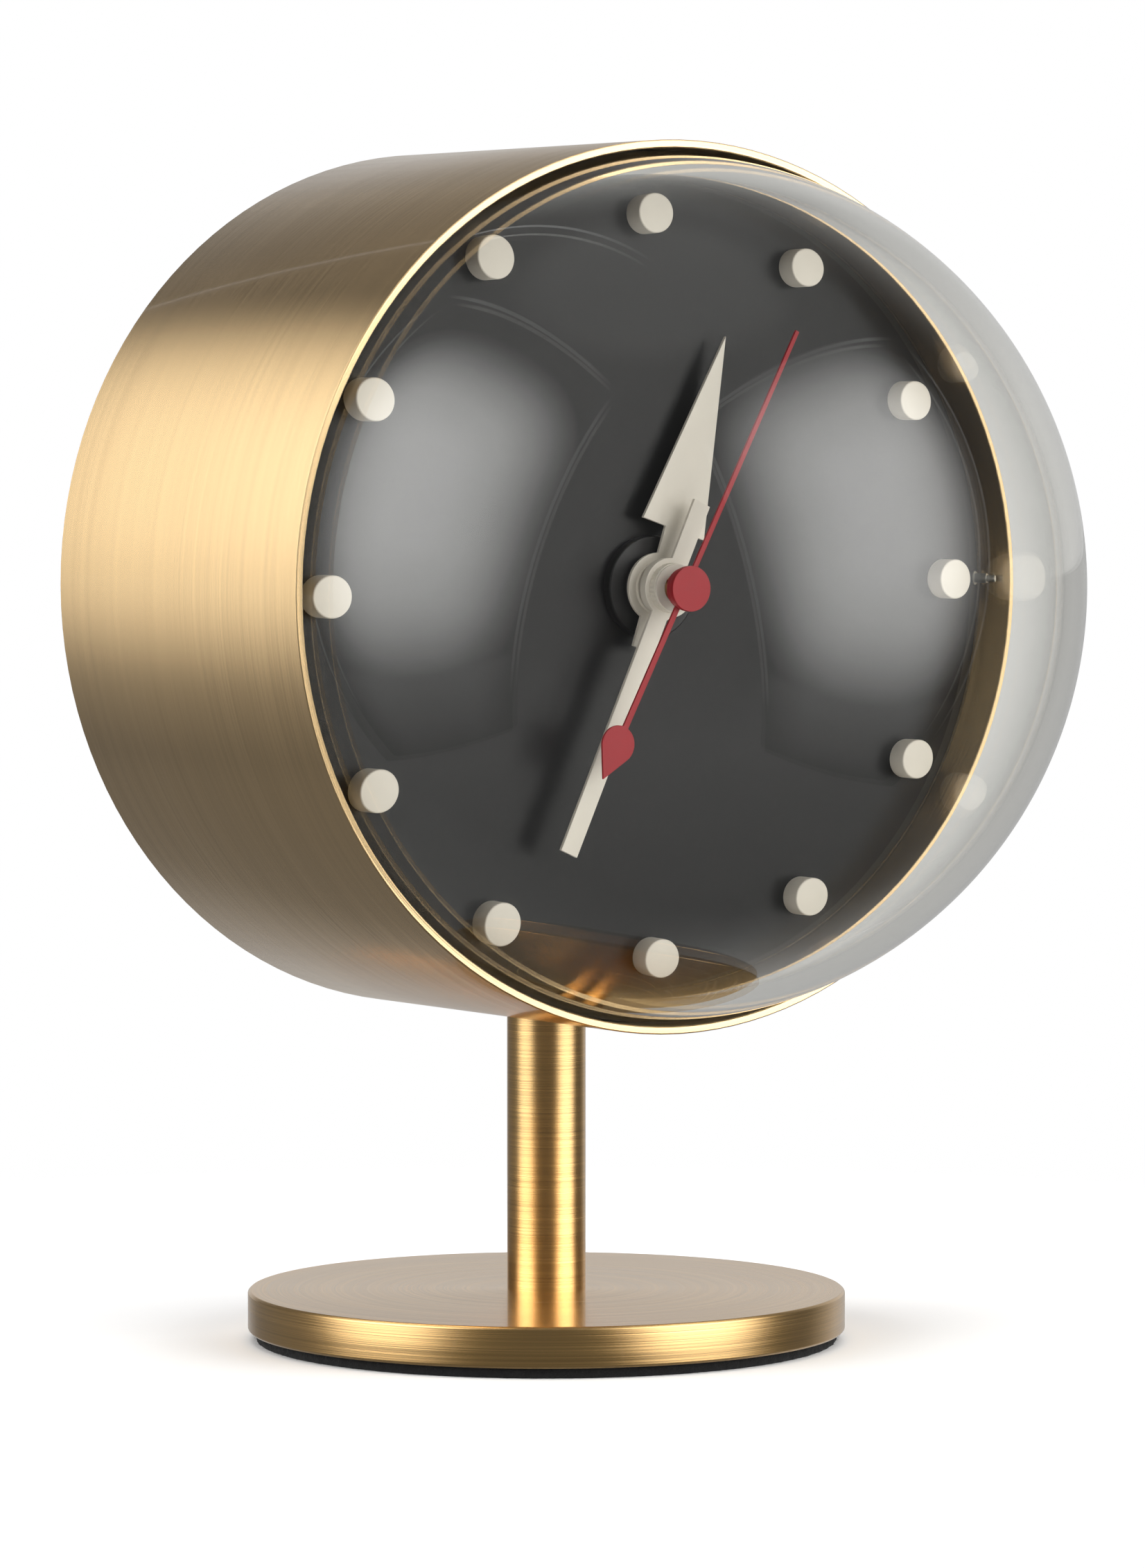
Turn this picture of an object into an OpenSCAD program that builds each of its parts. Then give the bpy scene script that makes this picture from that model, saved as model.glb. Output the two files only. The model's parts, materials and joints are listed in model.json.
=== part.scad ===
// Table clock: a round metal case with a clear dome in front, on a stem and a round foot.
// The foot rests on the plane z = 0 and the stem stands on the z axis. The dial looks along -y.
// Parts of the clock head are drawn in the clock's own frame, which the module in_clock places:
// x to the right, y towards twelve o'clock and z towards the reader, measured from the stem's axis.

/* [Case] */
// Outer diameter of the case tube
case_d = 110; // [107:0.5:122]
// Wall of the case tube
case_wall = 1; // [0.8:0.1:1.5]
// Reach of the case tube in front of the stem's axis
case_front = 30.3; // [29:0.1:33]
// Reach of the case tube behind the stem's axis
case_back = 27.5; // [24:0.5:36]
// Chamfer on the four edges of the case tube
case_chamfer = 0.15; // [0.05:0.05:0.3]

/* [Dome] */
// Wall of the clear dome
dome_wall = 2.8; // [2.6:0.1:3.2]
// Gap all round between the dome and the case
dome_gap = 0.2; // [0.1:0.05:0.4]
// Straight skirt between the dial and the start of the dome's ball shape
dome_skirt = 1.1; // [0.8:0.1:3]
// Radius of the rounded end of the skirt on the outside
dome_edge_r = 0.3; // [0.1:0.1:0.5]
// Radius of the two dome screws' thread
dome_screw_r = 0.64; // [0.5:0.02:0.7]
// Length of a dome screw's thread in the skirt
dome_screw_l = 3; // [2:0.1:4]
// Length of the thin tip ahead of the thread
dome_tip_l = 2; // [1:0.1:2.5]
// Radius of the thin tip
dome_tip_r = 0.42; // [0.3:0.02:0.48]
// Radius of the collar where the screw enters the skirt
dome_collar_r = 0.92; // [0.8:0.02:1.1]
// Thickness of that collar
dome_collar_t = 0.3; // [0.2:0.05:0.5]
// Radius of a dome screw's head
dome_head_r = 1.4; // [1.2:0.1:1.6]
// Height of a dome screw's head
dome_head_t = 1.1; // [0.8:0.1:1.4]

/* [Stand] */
// Diameter of the stem
stem_d = 10; // [9:0.1:12]
// Length of the stem between the foot disc and the case
stem_l = 34.7; // [20:0.1:60]
// Diameter of the foot disc
base_d = 76; // [66:0.5:100]
// Thickness of the foot disc
base_t = 5.15; // [4.6:0.05:8]
// Chamfer on the foot disc's edges
base_chamfer = 0.3; // [0.1:0.05:0.6]
// Thickness of the felt under the foot
felt_t = 1.3; // [0.8:0.1:2]
// How far the felt stays inside the foot's edge
felt_inset = 1.1; // [0.5:0.1:3]
// Radius of the screws' threads in the stem
stem_thread_r = 2.5; // [2:0.1:3]
// Depth of each thread in the stem
stem_thread_l = 11; // [8:0.5:15]
// Radius of the screw head inside the case
stem_head_r = 4.2; // [3.8:0.1:4.6]
// Height of the screw head inside the case
stem_head_t = 2.6; // [2:0.1:2.8]
// Radius of the saddle washer inside the case
washer_r = 5.2; // [4.8:0.1:6]
// Thickness of the saddle washer at its middle
washer_t = 0.9; // [0.7:0.1:1]
// Radius of the screw head under the foot
base_head_r = 5; // [4.5:0.1:6]
// Height of the screw head under the foot
base_head_t = 2.6; // [2:0.1:3]
// Width across the flats of the key sockets
key_w = 3; // [2.5:0.1:3.5]
// Depth of the key sockets
key_depth = 1.5; // [1:0.1:1.8]

/* [Dial] */
// Depth of the dial's face behind the case's front edge
dial_depth = 7.5; // [7:0.1:8]
// Thickness of the dial plate
dial_t = 1.5; // [1:0.1:2]
// Turn of the dial plate in the case, in degrees clockwise
dial_turn = -0.6; // [-3:0.1:3]
// Number of hour markers
marker_count = 12; // [12:12:12]
// Diameter of an hour marker
marker_d = 5.1; // [3:0.1:6]
// Height of an hour marker above the dial
marker_h = 2.95; // [1:0.05:3.5]
// Edge break of an hour marker
marker_chamfer = 0.12; // [0.05:0.01:0.3]
// Distance from the inside of the dome to the markers' centres
marker_inset = 4.75; // [4:0.05:8]
// Radius of a marker's peg in the dial
peg_r = 0.8; // [0.5:0.05:1]
// Radius of the round nut on the dial
dial_nut_r = 6.35; // [5.5:0.05:8]
// Thickness of the round nut on the dial
dial_nut_t = 1.45; // [1:0.05:1.5]
// Thickness of the rubber gasket behind the dial
gasket_t = 0.8; // [0.5:0.1:1.2]
// Radius of the rubber gasket
gasket_r = 9; // [7:0.5:12]

/* [Shown time] */
// Angle of the hour hand at rest, in degrees clockwise from twelve
hour_angle = 18.1; // [0:0.1:360]
// Angle of the minute hand at rest
minute_angle = 204.7; // [0:0.1:360]
// Angle of the second hand at rest
second_angle = 27.8; // [0:0.1:360]

/* [Hour hand] */
// Height of the hour hand's front face above the dial
hour_lift = 2.6; // [2.5:0.1:2.8]
// Thickness of the hour and minute hands
hand_t = 0.5; // [0.3:0.05:0.6]
// Reach of the hour hand
hour_reach = 32.8; // [20:0.1:38]
// Distance from the axis to the arrow's shoulders
arrow_start = 7.6; // [6:0.1:12]
// Width of the arrow at its shoulders
arrow_w = 9.5; // [5:0.1:12]
// Width of the hour hand's neck and tail
hour_neck_w = 2.5; // [1.5:0.1:4]
// Length of the hour hand's tail
hour_tail = 7.9; // [5:0.1:12]
// Radius of the hour hand's hub
hour_hub_r = 4.3; // [3.6:0.05:5]
// Radius of the raised ring on the hour hand's hub
hour_ring_r = 3.3; // [3:0.05:3.5]
// Height of that raised ring
hour_ring_t = 0.45; // [0.2:0.05:0.6]

/* [Minute hand] */
// Height of the minute hand's front face above the dial
minute_lift = 5.3; // [5:0.1:5.6]
// Reach of the minute hand
minute_reach = 35.4; // [25:0.1:40]
// Width of the minute hand
minute_w = 2.5; // [1.5:0.1:4]
// Length of the minute hand's tail
minute_tail = 11.5; // [6:0.1:15]
// Radius of the minute hand's hub
minute_hub_r = 3.7; // [3.3:0.05:4.2]
// Thickness of the minute hand's hub
minute_hub_t = 1.2; // [0.8:0.05:1.3]
// Radius of the knurled nut on the minute hand
hand_nut_r = 3.1; // [2.8:0.05:3.2]
// Thickness of the knurled nut
hand_nut_t = 1.3; // [1:0.05:1.4]
// Number of ridges round the knurled nut
knurl_count = 36; // [24:2:48]
// Depth of the ridges
knurl_depth = 0.08; // [0.05:0.01:0.15]

/* [Second hand] */
// Height of the cap's front face above the dial
second_lift = 10; // [9.7:0.1:10.5]
// Height of the needle's front face above the dial
needle_lift = 8.8; // [8.6:0.1:8.9]
// Reach of the second hand
second_reach = 35.9; // [25:0.1:40]
// Width of the needle at the axis
needle_w = 0.8; // [0.5:0.05:1.2]
// Width of the needle at its tip
needle_tip_w = 0.55; // [0.3:0.05:0.8]
// Thickness of the needle
needle_t = 0.35; // [0.25:0.05:0.5]
// Radius of the second hand's cap
cap_r = 2.8; // [2.4:0.05:3.2]
// Thickness of the cap
cap_t = 0.85; // [0.6:0.05:0.9]
// Radius of the boss that carries the needle
boss_r = 2.55; // [2.2:0.05:2.8]
// Thickness of the boss that carries the needle
boss_t = 0.8; // [0.6:0.05:0.9]
// Radius of the neck between the boss and the cap
neck_r = 2.1; // [1.6:0.05:2.2]
// Distance from the axis to the counterweight's round part
drop_at = 21.3; // [14:0.1:24]
// Radius of the counterweight's round part
drop_r = 2.35; // [1.5:0.05:3]
// Distance from the axis to the counterweight's point
drop_point = 26; // [25:0.1:30]

/* [Movement] */
// Width and height of the movement's housing, which a longer battery's bay may outreach
movement_w = 56; // [55:0.5:58]
// Corner radius of the housing
movement_corner = 3; // [2:0.5:5]
// Thickness of the housing's front plate
front_plate_t = 1.6; // [1.4:0.1:2]
// Thickness of the housing's rear wall
rear_wall_t = 1.2; // [1:0.1:1.6]
// Thickness of the housing's side walls
side_wall_t = 1.4; // [1:0.1:1.6]
// Outer radius of the threaded neck through the dial
neck_thread_r = 4; // [3.8:0.1:4.2]
// How far the threaded neck stands out of the round nut
neck_over = 0.2; // [0.1:0.05:0.25]
// Radius of the hour wheel's pipe
hour_pipe_r = 2.5; // [2.4:0.05:2.6]
// Radius of the minute pipe
minute_pipe_r = 1.7; // [1.6:0.05:1.8]
// Radius of the second hand's arbor
second_arbor_r = 0.6; // [0.5:0.05:0.7]
// Radius of the train's other arbors
arbor_r = 0.5; // [0.4:0.05:0.6]
// Radius of the pivots at the arbors' ends
pivot_r = 0.3; // [0.25:0.05:0.35]
// Depth of the pivots in the plates
pivot_l = 0.7; // [0.5:0.05:0.8]
// Radial clearance of everything that turns in a bore
running_gap = 0.05; // [0.02:0.01:0.08]
// Diameter of the battery
battery_d = 14.2; // [13.8:0.1:14.5]
// Length of the battery without its button
battery_l = 49.3; // [48.8:0.1:49.5]
// Radius of the battery's button
button_r = 2.6; // [2.2:0.1:2.8]
// Height of the battery's button
button_t = 1.2; // [1:0.1:1.3]
// Clearance round the battery in its bay
battery_gap = 0.25; // [0.2:0.05:0.4]
// Room for a contact at each end of the battery
contact_room = 0.75; // [0.65:0.05:1]
// Thickness of the contact strips
contact_t = 0.3; // [0.2:0.05:0.4]
// Width of the contact strips
contact_w = 5; // [4:0.5:6]
// Radius of the setting knob
knob_r = 6.5; // [5:0.25:7]
// Thickness of the setting knob
knob_t = 2.4; // [2:0.1:3]
// Gap between the setting knob and the housing
knob_gap = 0.3; // [0.2:0.05:0.6]
// Radius of the setting arbor
setting_arbor_r = 1.2; // [1:0.1:1.4]

/* [Gears] */
// Teeth of the second wheel
second_teeth = 60; // [60:60:60]
// Teeth of the pinion that drives the second wheel
step_pinion_teeth = 10; // [10:10:10]
// Teeth of the step wheel
step_teeth = 40; // [40:40:40]
// Teeth of the rotor's pinion
rotor_teeth = 8; // [8:8:8]
// Teeth of the second wheel's pinion
second_pinion_teeth = 8; // [8:8:8]
// Teeth of the third wheel
third_teeth = 64; // [64:64:64]
// Teeth of the third wheel's pinion
third_pinion_teeth = 8; // [8:8:8]
// Teeth of the centre wheel
centre_teeth = 60; // [60:60:60]
// Teeth of the minute pipe's pinion
cannon_teeth = 12; // [12:12:12]
// Teeth of the motion wheel
motion_teeth = 36; // [36:36:36]
// Teeth of the motion wheel's pinion
motion_pinion_teeth = 10; // [10:10:10]
// Teeth of the hour wheel
hour_teeth = 40; // [40:40:40]
// Teeth of the setting pinion
setting_teeth = 12; // [12:12:12]
// Gear module of the step wheel and the second wheel
step_module = 0.26; // [0.25:0.005:0.27]
// Gear module of the third wheel
third_module = 0.25; // [0.245:0.005:0.26]
// Gear module of the motion wheel
motion_module = 0.35; // [0.34:0.005:0.36]
// Pressure angle of the teeth in degrees
pressure_angle = 20; // [18:0.5:24]
// Thinning of each tooth for play
tooth_play = 0.05; // [0.04:0.01:0.07]
// Thickness of a wheel
wheel_t = 0.8; // [0.6:0.05:0.9]
// Thickness of a wheel's web inside its rim
web_t = 0.4; // [0.3:0.05:0.5]
// Width of a wheel's rim inside the teeth
rim_w = 0.8; // [0.6:0.1:1]
// Radius of a wheel's hub
hub_r = 1.5; // [1.2:0.1:1.8]
// How far a pinion stands past each side of the wheel that it meets
pinion_over = 0.2; // [0.1:0.05:0.25]
// Gap between neighbouring wheels along the axis
layer_gap = 0.9; // [0.8:0.05:1.1]
// Gap between the centre wheel and the third wheel
centre_gap = 3; // [2.6:0.1:3.4]
// Gap between the third wheel and the second wheel
third_gap = 1.8; // [1.6:0.1:2.2]
// Play between an end wheel and its plate
end_play = 0.3; // [0.2:0.05:0.4]

/* [Motor] */
// Radius of the rotor's magnet
magnet_r = 3; // [2.6:0.1:3]
// Length of the rotor's magnet
magnet_l = 2.6; // [2.2:0.1:2.8]
// Air gap between the magnet and the stator
air_gap = 0.35; // [0.3:0.05:0.5]
// Thickness of the stator and of the coil's core
stator_t = 0.8; // [0.6:0.05:1]
// Width of the stator's legs
stator_leg_w = 3.5; // [3:0.1:4]
// Radius of the coil's winding
coil_r = 3.4; // [3:0.1:3.8]
// Thickness of the bobbin's end flanges
flange_t = 0.8; // [0.6:0.1:1]
// How far the bobbin's flanges stand out of the winding
flange_over = 0.5; // [0.3:0.1:0.6]
// Width of the circuit board
board_w = 14; // [12:0.5:14.5]
// Height of the circuit board
board_h = 13; // [11:0.5:14]
// Thickness of the circuit board
board_t = 1; // [0.8:0.1:1.2]
// Radius of the quartz can
quartz_r = 1; // [0.9:0.1:1.2]
// Length of the quartz can
quartz_l = 6; // [5:0.5:7]
// Radius of the posts that carry the stator and the board
post_r = 1.2; // [1:0.1:1.4]

/* [Back] */
// Depth of the rear cover's flange inside the case's rear edge
rear_inset = 1.7; // [1:0.1:3]
// Gap between the rear cover and the case
rear_gap = 0.2; // [0.1:0.05:0.4]
// Distance from the case's inside to the well in the rear cover
well_inset = 8; // [7.8:0.1:9]
// Widening of the well from its floor to its mouth
well_draft = 1.2; // [0.6:0.1:1.4]
// Wall of the rear cover
rear_t = 1.8; // [1.5:0.1:2]
// Rounding of the well's mouth
mouth_r = 1; // [0.6:0.1:1.2]
// Gap between the rear cover and the movement
window_gap = 0.7; // [0.5:0.1:1]
// How far the movement stands out of the well's floor
movement_proud = 0.5; // [0.3:0.1:1]
// Thickness of the mounting ring's flange
ring_t = 2; // [1.6:0.1:2.4]
// Length of the mounting ring's outer wall
ring_l = 12; // [8:0.5:14]
// Radius of the four bosses under the rear cover
rear_boss_r = 2.6; // [2.4:0.1:2.8]
// Distance of the bosses from the well's wall
rear_boss_inset = 3.5; // [3.3:0.1:4]
// Radius of the rear screws' thread
rear_screw_r = 1.1; // [0.9:0.05:1.2]
// Length of the rear screws
rear_screw_l = 8; // [6:0.5:9]
// Radius of the rear screws' heads
rear_head_r = 2.2; // [2:0.1:2.4]
// Height of the rear screws' heads
rear_head_t = 1.2; // [1:0.1:1.4]
// Width of the slot in the small screws' heads
slot_w = 0.5; // [0.4:0.05:0.6]
// Depth of the slot in the small screws' heads
slot_depth = 0.5; // [0.3:0.05:0.6]

/* [Hidden] */
$fn = 96;
// Overrun of every cut past the face that it opens
over = 0.5;
// Clearance of every screw in its passing hole
screw_gap = 0.1;
// Degrees in one radian
radian = 180 / PI;
// Steps along a tooth's flank
flank_steps = 3;
// Height of a tooth above and its depth below the pitch circle, as shares of the module
tip_share = 0.85;
root_share = 1.2;

// Radii of the case, the dome and the stand
case_r = case_d / 2;
bore_r = case_r - case_wall;
dome_r = bore_r - dome_gap;
dome_in_r = dome_r - dome_wall;
stem_r = stem_d / 2;
base_r = base_d / 2;
foot_h = felt_t + base_t;
axis_h = foot_h + stem_l + case_r;

// Planes of the dial and the hands, measured forward from the stem's axis
dial_z = case_front - dial_depth;
dial_back = dial_z - dial_t;
dome_centre = dial_z + dome_skirt;
hour_z = dial_z + hour_lift;
minute_z = dial_z + minute_lift;
needle_z = dial_z + needle_lift;
second_z = dial_z + second_lift;
marker_circle = dome_in_r - marker_inset;
dome_screw_circle = dome_r - dome_wall / 2;
neck_end = dial_z + dial_nut_t + neck_over;

// Planes of the movement, from its front plate back to its rear wall
plate_front = dial_back - gasket_t;
plate_back = plate_front - front_plate_t;
hour_wheel_z = plate_back - end_play - wheel_t;
motion_z = hour_wheel_z - layer_gap - wheel_t;
centre_z = motion_z - layer_gap - wheel_t;
third_z = centre_z - centre_gap - wheel_t;
second_wheel_z = third_z - third_gap - wheel_t;
step_z = second_wheel_z - layer_gap - wheel_t;
train_end = step_z - 2 * end_play;
bay_floor_t = front_plate_t / 2;
bay_depth = battery_d + 2 * battery_gap;
rear_in = min(train_end, plate_back + bay_floor_t - bay_depth + rear_wall_t);
rear_z = rear_in - rear_wall_t;

// Places of the arbors across the movement, chosen so that no arbor crosses another wheel
centre_module = third_module * (second_pinion_teeth + third_teeth) / (third_pinion_teeth + centre_teeth);
hour_module = motion_module * (cannon_teeth + motion_teeth) / (motion_pinion_teeth + hour_teeth);
step_direction = 180;
rotor_direction = 120;
third_direction = 0;
motion_direction = 90;
setting_direction = 45;
step_at = polar(spacing(second_teeth, step_pinion_teeth, step_module), step_direction);
rotor_at = step_at + polar(spacing(step_teeth, rotor_teeth, step_module), rotor_direction);
third_at = polar(spacing(third_teeth, second_pinion_teeth, third_module), third_direction);
motion_at = polar(spacing(motion_teeth, cannon_teeth, motion_module), motion_direction);
setting_at = motion_at + polar(spacing(motion_teeth, setting_teeth, motion_module), setting_direction);

// Turns that put each pair of wheels in mesh at rest
step_pinion_turn = meshed(second_teeth, 0, step_direction, step_pinion_teeth);
rotor_turn = meshed(step_teeth, 0, rotor_direction, rotor_teeth);
third_turn = meshed(second_pinion_teeth, 0, third_direction, third_teeth);
centre_turn = meshed(third_pinion_teeth, 0, third_direction + 180, centre_teeth);
motion_turn = meshed(cannon_teeth, 0, motion_direction, motion_teeth);
hour_turn = meshed(motion_pinion_teeth, 0, motion_direction + 180, hour_teeth);
setting_turn = meshed(motion_teeth, motion_turn, setting_direction, setting_teeth);

// Battery bay, along the lower edge of the housing and clear of the train's widest wheel
train_reach = max(tip_radius(second_teeth, step_module), tip_radius(third_teeth, third_module),
    tip_radius(centre_teeth, centre_module));
bay_r = battery_d / 2 + battery_gap;
bay_y = side_wall_t + bay_r - max(movement_w / 2, train_reach + end_play + 2 * side_wall_t + 2 * bay_r);
bay_z = plate_back + bay_floor_t - bay_r;
bay_half = battery_l / 2 + button_t + contact_room;
bay_top = bay_y + bay_r;
button_x = battery_l / 2 + button_t / 2;

// Motor: the stator's two legs reach from the rotor up to the coil's core, inside the housing's wall
stator_z = second_wheel_z + wheel_t + layer_gap / 3;
coil_y = movement_w / 2 - side_wall_t - coil_r - flange_over - end_play;
leg_right = -hub_r - end_play;
leg_left = max(2 * rotor_at[0] - leg_right, side_wall_t + end_play - movement_w / 2);
stator_low = rotor_at[1] - magnet_r - air_gap - rim_w;
stator_high = rotor_at[1] + magnet_r + air_gap + rim_w;
core_top = coil_y + stator_leg_w / 2;
core_z = stator_z + stator_t;
magnet_z = stator_z + stator_t / 2 - magnet_l / 2;
board_x = movement_w / 2 - side_wall_t - end_play - board_w / 2;
board_y = movement_w / 2 - side_wall_t - end_play - board_h / 2;
board_z = rear_in + layer_gap + wheel_t;

// Back of the clock
well_r = bore_r - well_inset;
well_floor = rear_z + movement_proud;
rear_lip = -case_back + rear_inset;
boss_circle = well_r - rear_boss_inset;
boss_angles = [0, 90, 180, 270];

function polar(r, a) = [r * cos(a), r * sin(a)];
function spacing(n_a, n_b, m) = m * (n_a + n_b) / 2;
function tip_radius(n, m) = n * m / 2 + tip_share * m;
function meshed(n_a, turn_a, direction, n_b) =
    direction + 180 - 360 / n_b * (0.5 - (direction - turn_a) * n_a / 360);

// Angle in degrees that an involute has unwound where its pressure angle is a
function unwound(a) = tan(a) * radian - a;
// Half of a tooth's angle at radius r, for n teeth on the pitch radius rp
function half_tooth(n, rp, r) =
    90 / n - tooth_play / 2 / rp * radian
    + unwound(pressure_angle) - unwound(acos(min(1, rp * cos(pressure_angle) / r)));
function flank_radii(rp, m) =
    [for (k = [0 : flank_steps]) rp - root_share * m + (tip_share + root_share) * m * k / flank_steps];
function gear_points(n, m, turn) =
    let (rp = n * m / 2, radii = flank_radii(rp, m))
    [for (i = [0 : n - 1]) for (side = [-1, 1]) for (k = [0 : flank_steps])
        let (r = radii[side < 0 ? k : flank_steps - k])
        polar(r, turn + 360 * i / n + side * half_tooth(n, rp, r))];
function knurl_points(n, r, depth) =
    [for (i = [0 : 2 * n - 1]) polar(r - (i % 2) * depth, 180 * i / n)];

module in_clock() {
    translate([0, 0, axis_h]) rotate([90, 0, 0]) children();
}

// Cylinder between two planes of the clock's frame
module rod(r, from, to) {
    translate([0, 0, from]) cylinder(r = r, h = to - from);
}

module tube(r, r_in, from, to) {
    difference() {
        rod(r, from, to);
        rod(r_in, from - over, to + over);
    }
}

module at(place) {
    translate([place[0], place[1], 0]) children();
}

module clockwise(angle) {
    rotate([0, 0, -angle]) children();
}

module teeth(n, m, turn, from, to) {
    translate([0, 0, from]) linear_extrude(to - from) polygon(gear_points(n, m, turn));
}

// Pinion that spans the wheel standing on plane z
module pinion(n, m, turn, z) {
    teeth(n, m, turn, z - pinion_over, z + wheel_t + pinion_over);
}

// Wheel on plane z with a thinner web between its rim and its hub
module wheel(n, m, turn, z) {
    rim_r = n * m / 2 - root_share * m - rim_w;
    step = (wheel_t - web_t) / 2;
    difference() {
        teeth(n, m, turn, z, z + wheel_t);
        tube(rim_r, hub_r, z - over, z + step);
        tube(rim_r, hub_r, z + wheel_t - step, z + wheel_t + over);
    }
}

// Arbor with a pivot at each end, between the rear wall and the front plate
module arbor(place) {
    at(place) {
        rod(arbor_r, rear_in + end_play / 2, plate_back - end_play / 2);
        rod(pivot_r, rear_in - pivot_l, plate_back + pivot_l);
    }
}

module slotted_head(r, t) {
    difference() {
        cylinder(r = r, h = t);
        translate([-r - over, -slot_w / 2, t - slot_depth])
            cube([2 * (r + over), slot_w, slot_depth + over]);
    }
}

module key_socket() {
    cylinder(d = key_w / cos(30), h = key_depth + over, $fn = 6);
}

module rounded_box(w, h, r) {
    square([w, h - 2 * r], center = true);
    square([w - 2 * r, h], center = true);
    for (x = [r - w / 2, w / 2 - r]) for (y = [r - h / 2, h / 2 - r]) translate([x, y]) circle(r = r);
}

// Outline of the movement's housing with a gap round it: a square that also holds the battery's bay
module housing_outline(gap) {
    margin = 2 * (side_wall_t + gap);
    rounded_box(movement_w + 2 * gap, movement_w + 2 * gap, movement_corner + gap);
    translate([0, bay_y])
        rounded_box(2 * bay_half + margin, 2 * bay_r + margin, movement_corner + gap);
}

module case_shell() {
    color([0.8, 0.64, 0.38]) in_clock() difference() {
        rotate_extrude() polygon([
            [bore_r, -case_back + case_chamfer], [bore_r + case_chamfer, -case_back],
            [case_r - case_chamfer, -case_back], [case_r, -case_back + case_chamfer],
            [case_r, case_front - case_chamfer], [case_r - case_chamfer, case_front],
            [bore_r + case_chamfer, case_front], [bore_r, case_front - case_chamfer]]);
        rotate([90, 0, 0]) cylinder(r = stem_thread_r + screw_gap, h = case_r + over);
    }
}

module dome_section() {
    intersection() {
        difference() {
            union() {
                circle(r = dome_r);
                translate([0, -dome_skirt]) square([dome_r, dome_skirt]);
            }
            circle(r = dome_in_r);
            translate([0, -dome_skirt - over]) square([dome_in_r, dome_skirt + over]);
        }
        union() {
            translate([0, -dome_skirt + dome_edge_r]) square(dome_r + dome_skirt);
            translate([0, -dome_skirt]) square([dome_r - dome_edge_r, dome_skirt]);
            translate([dome_r - dome_edge_r, -dome_skirt + dome_edge_r]) circle(r = dome_edge_r);
        }
    }
}

module dome_screw_body(gap) {
    rod(dome_screw_r + gap, dial_z - over * (gap > 0 ? 1 : 0), dial_z + dome_screw_l + gap);
    rod(dome_tip_r + gap, dial_z + dome_screw_l, dial_z + dome_screw_l + dome_tip_l + gap);
    rod(dome_collar_r + gap, dial_z - over * (gap > 0 ? 1 : 0), dial_z + dome_collar_t + gap);
}

module at_dome_screws() {
    clockwise(dial_turn) for (side = [-1, 1]) at([side * dome_screw_circle, 0]) children();
}

module dome_lens() {
    color([0.85, 0.88, 0.9, 0.35]) in_clock() difference() {
        translate([0, 0, dome_centre]) rotate_extrude() dome_section();
        at_dome_screws() dome_screw_body(running_gap);
    }
}

module dome_screws() {
    color([0.75, 0.76, 0.78]) in_clock() at_dome_screws() {
        dome_screw_body(0);
        rod(dome_screw_r, dial_back - ring_t, dial_z);
        translate([0, 0, dial_back - ring_t]) rotate([180, 0, 0]) slotted_head(dome_head_r, dome_head_t);
    }
}

module at_markers() {
    clockwise(dial_turn) for (i = [0 : marker_count - 1])
        at(polar(marker_circle, 90 - 360 * i / marker_count)) children();
}

module dial_plate() {
    color([0.1, 0.1, 0.11]) in_clock() difference() {
        rod(dome_r, dial_back, dial_z);
        rod(neck_thread_r + screw_gap, dial_back - over, dial_z + over);
        at_markers() rod(peg_r, dial_back - over, dial_z + over);
        at_dome_screws() rod(dome_screw_r + screw_gap, dial_back - over, dial_z + over);
    }
}

module hour_markers() {
    marker_r = marker_d / 2;
    color([0.87, 0.84, 0.77]) in_clock() at_markers() {
        translate([0, 0, dial_z]) rotate_extrude() polygon([
            [0, 0], [marker_r, 0], [marker_r, marker_h - marker_chamfer],
            [marker_r - marker_chamfer, marker_h], [0, marker_h]]);
        rod(peg_r, dial_back, dial_z);
    }
}

module dial_nut() {
    color([0.08, 0.08, 0.09]) in_clock() difference() {
        translate([0, 0, dial_z]) rotate_extrude() polygon([
            [neck_thread_r, 0], [dial_nut_r, 0], [dial_nut_r, dial_nut_t - case_chamfer],
            [dial_nut_r - case_chamfer, dial_nut_t], [neck_thread_r, dial_nut_t]]);
    }
}

module movement_gasket() {
    color([0.12, 0.12, 0.12]) in_clock()
        tube(gasket_r, neck_thread_r + screw_gap, plate_front, dial_back);
}

module at_bosses() {
    for (a = boss_angles) at(polar(boss_circle, a)) children();
}

module mounting_ring() {
    color([0.13, 0.13, 0.14]) in_clock() difference() {
        union() {
            translate([0, 0, dial_back - ring_t]) linear_extrude(ring_t) difference() {
                circle(r = bore_r);
                housing_outline(window_gap);
            }
            tube(bore_r, dome_in_r, dial_back - ring_l, dial_back);
            at_bosses() rod(rear_boss_r, well_floor + rear_t, dial_back - ring_t / 2);
        }
        at_bosses() rod(rear_screw_r, well_floor, well_floor + rear_screw_l + screw_gap);
        at_dome_screws() {
            rod(dome_screw_r + screw_gap, dial_back - ring_t - over, dial_back + over);
            rod(dome_head_r + screw_gap, dial_back - ring_l - over, dial_back - ring_t);
        }
    }
}

module movement_front() {
    color([0.16, 0.16, 0.17]) in_clock() {
        difference() {
            union() {
                translate([0, 0, plate_back]) linear_extrude(front_plate_t) housing_outline(0);
                rod(neck_thread_r, plate_front, neck_end);
            }
            bay_space();
            rod(hour_pipe_r + running_gap, plate_back - over, neck_end + over);
            for (place = [step_at, rotor_at, third_at])
                at(place) rod(pivot_r + running_gap, plate_back - over, plate_back + pivot_l + running_gap);
        }
        at(motion_at) rod(arbor_r, motion_z - pinion_over, plate_back);
    }
}

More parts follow.
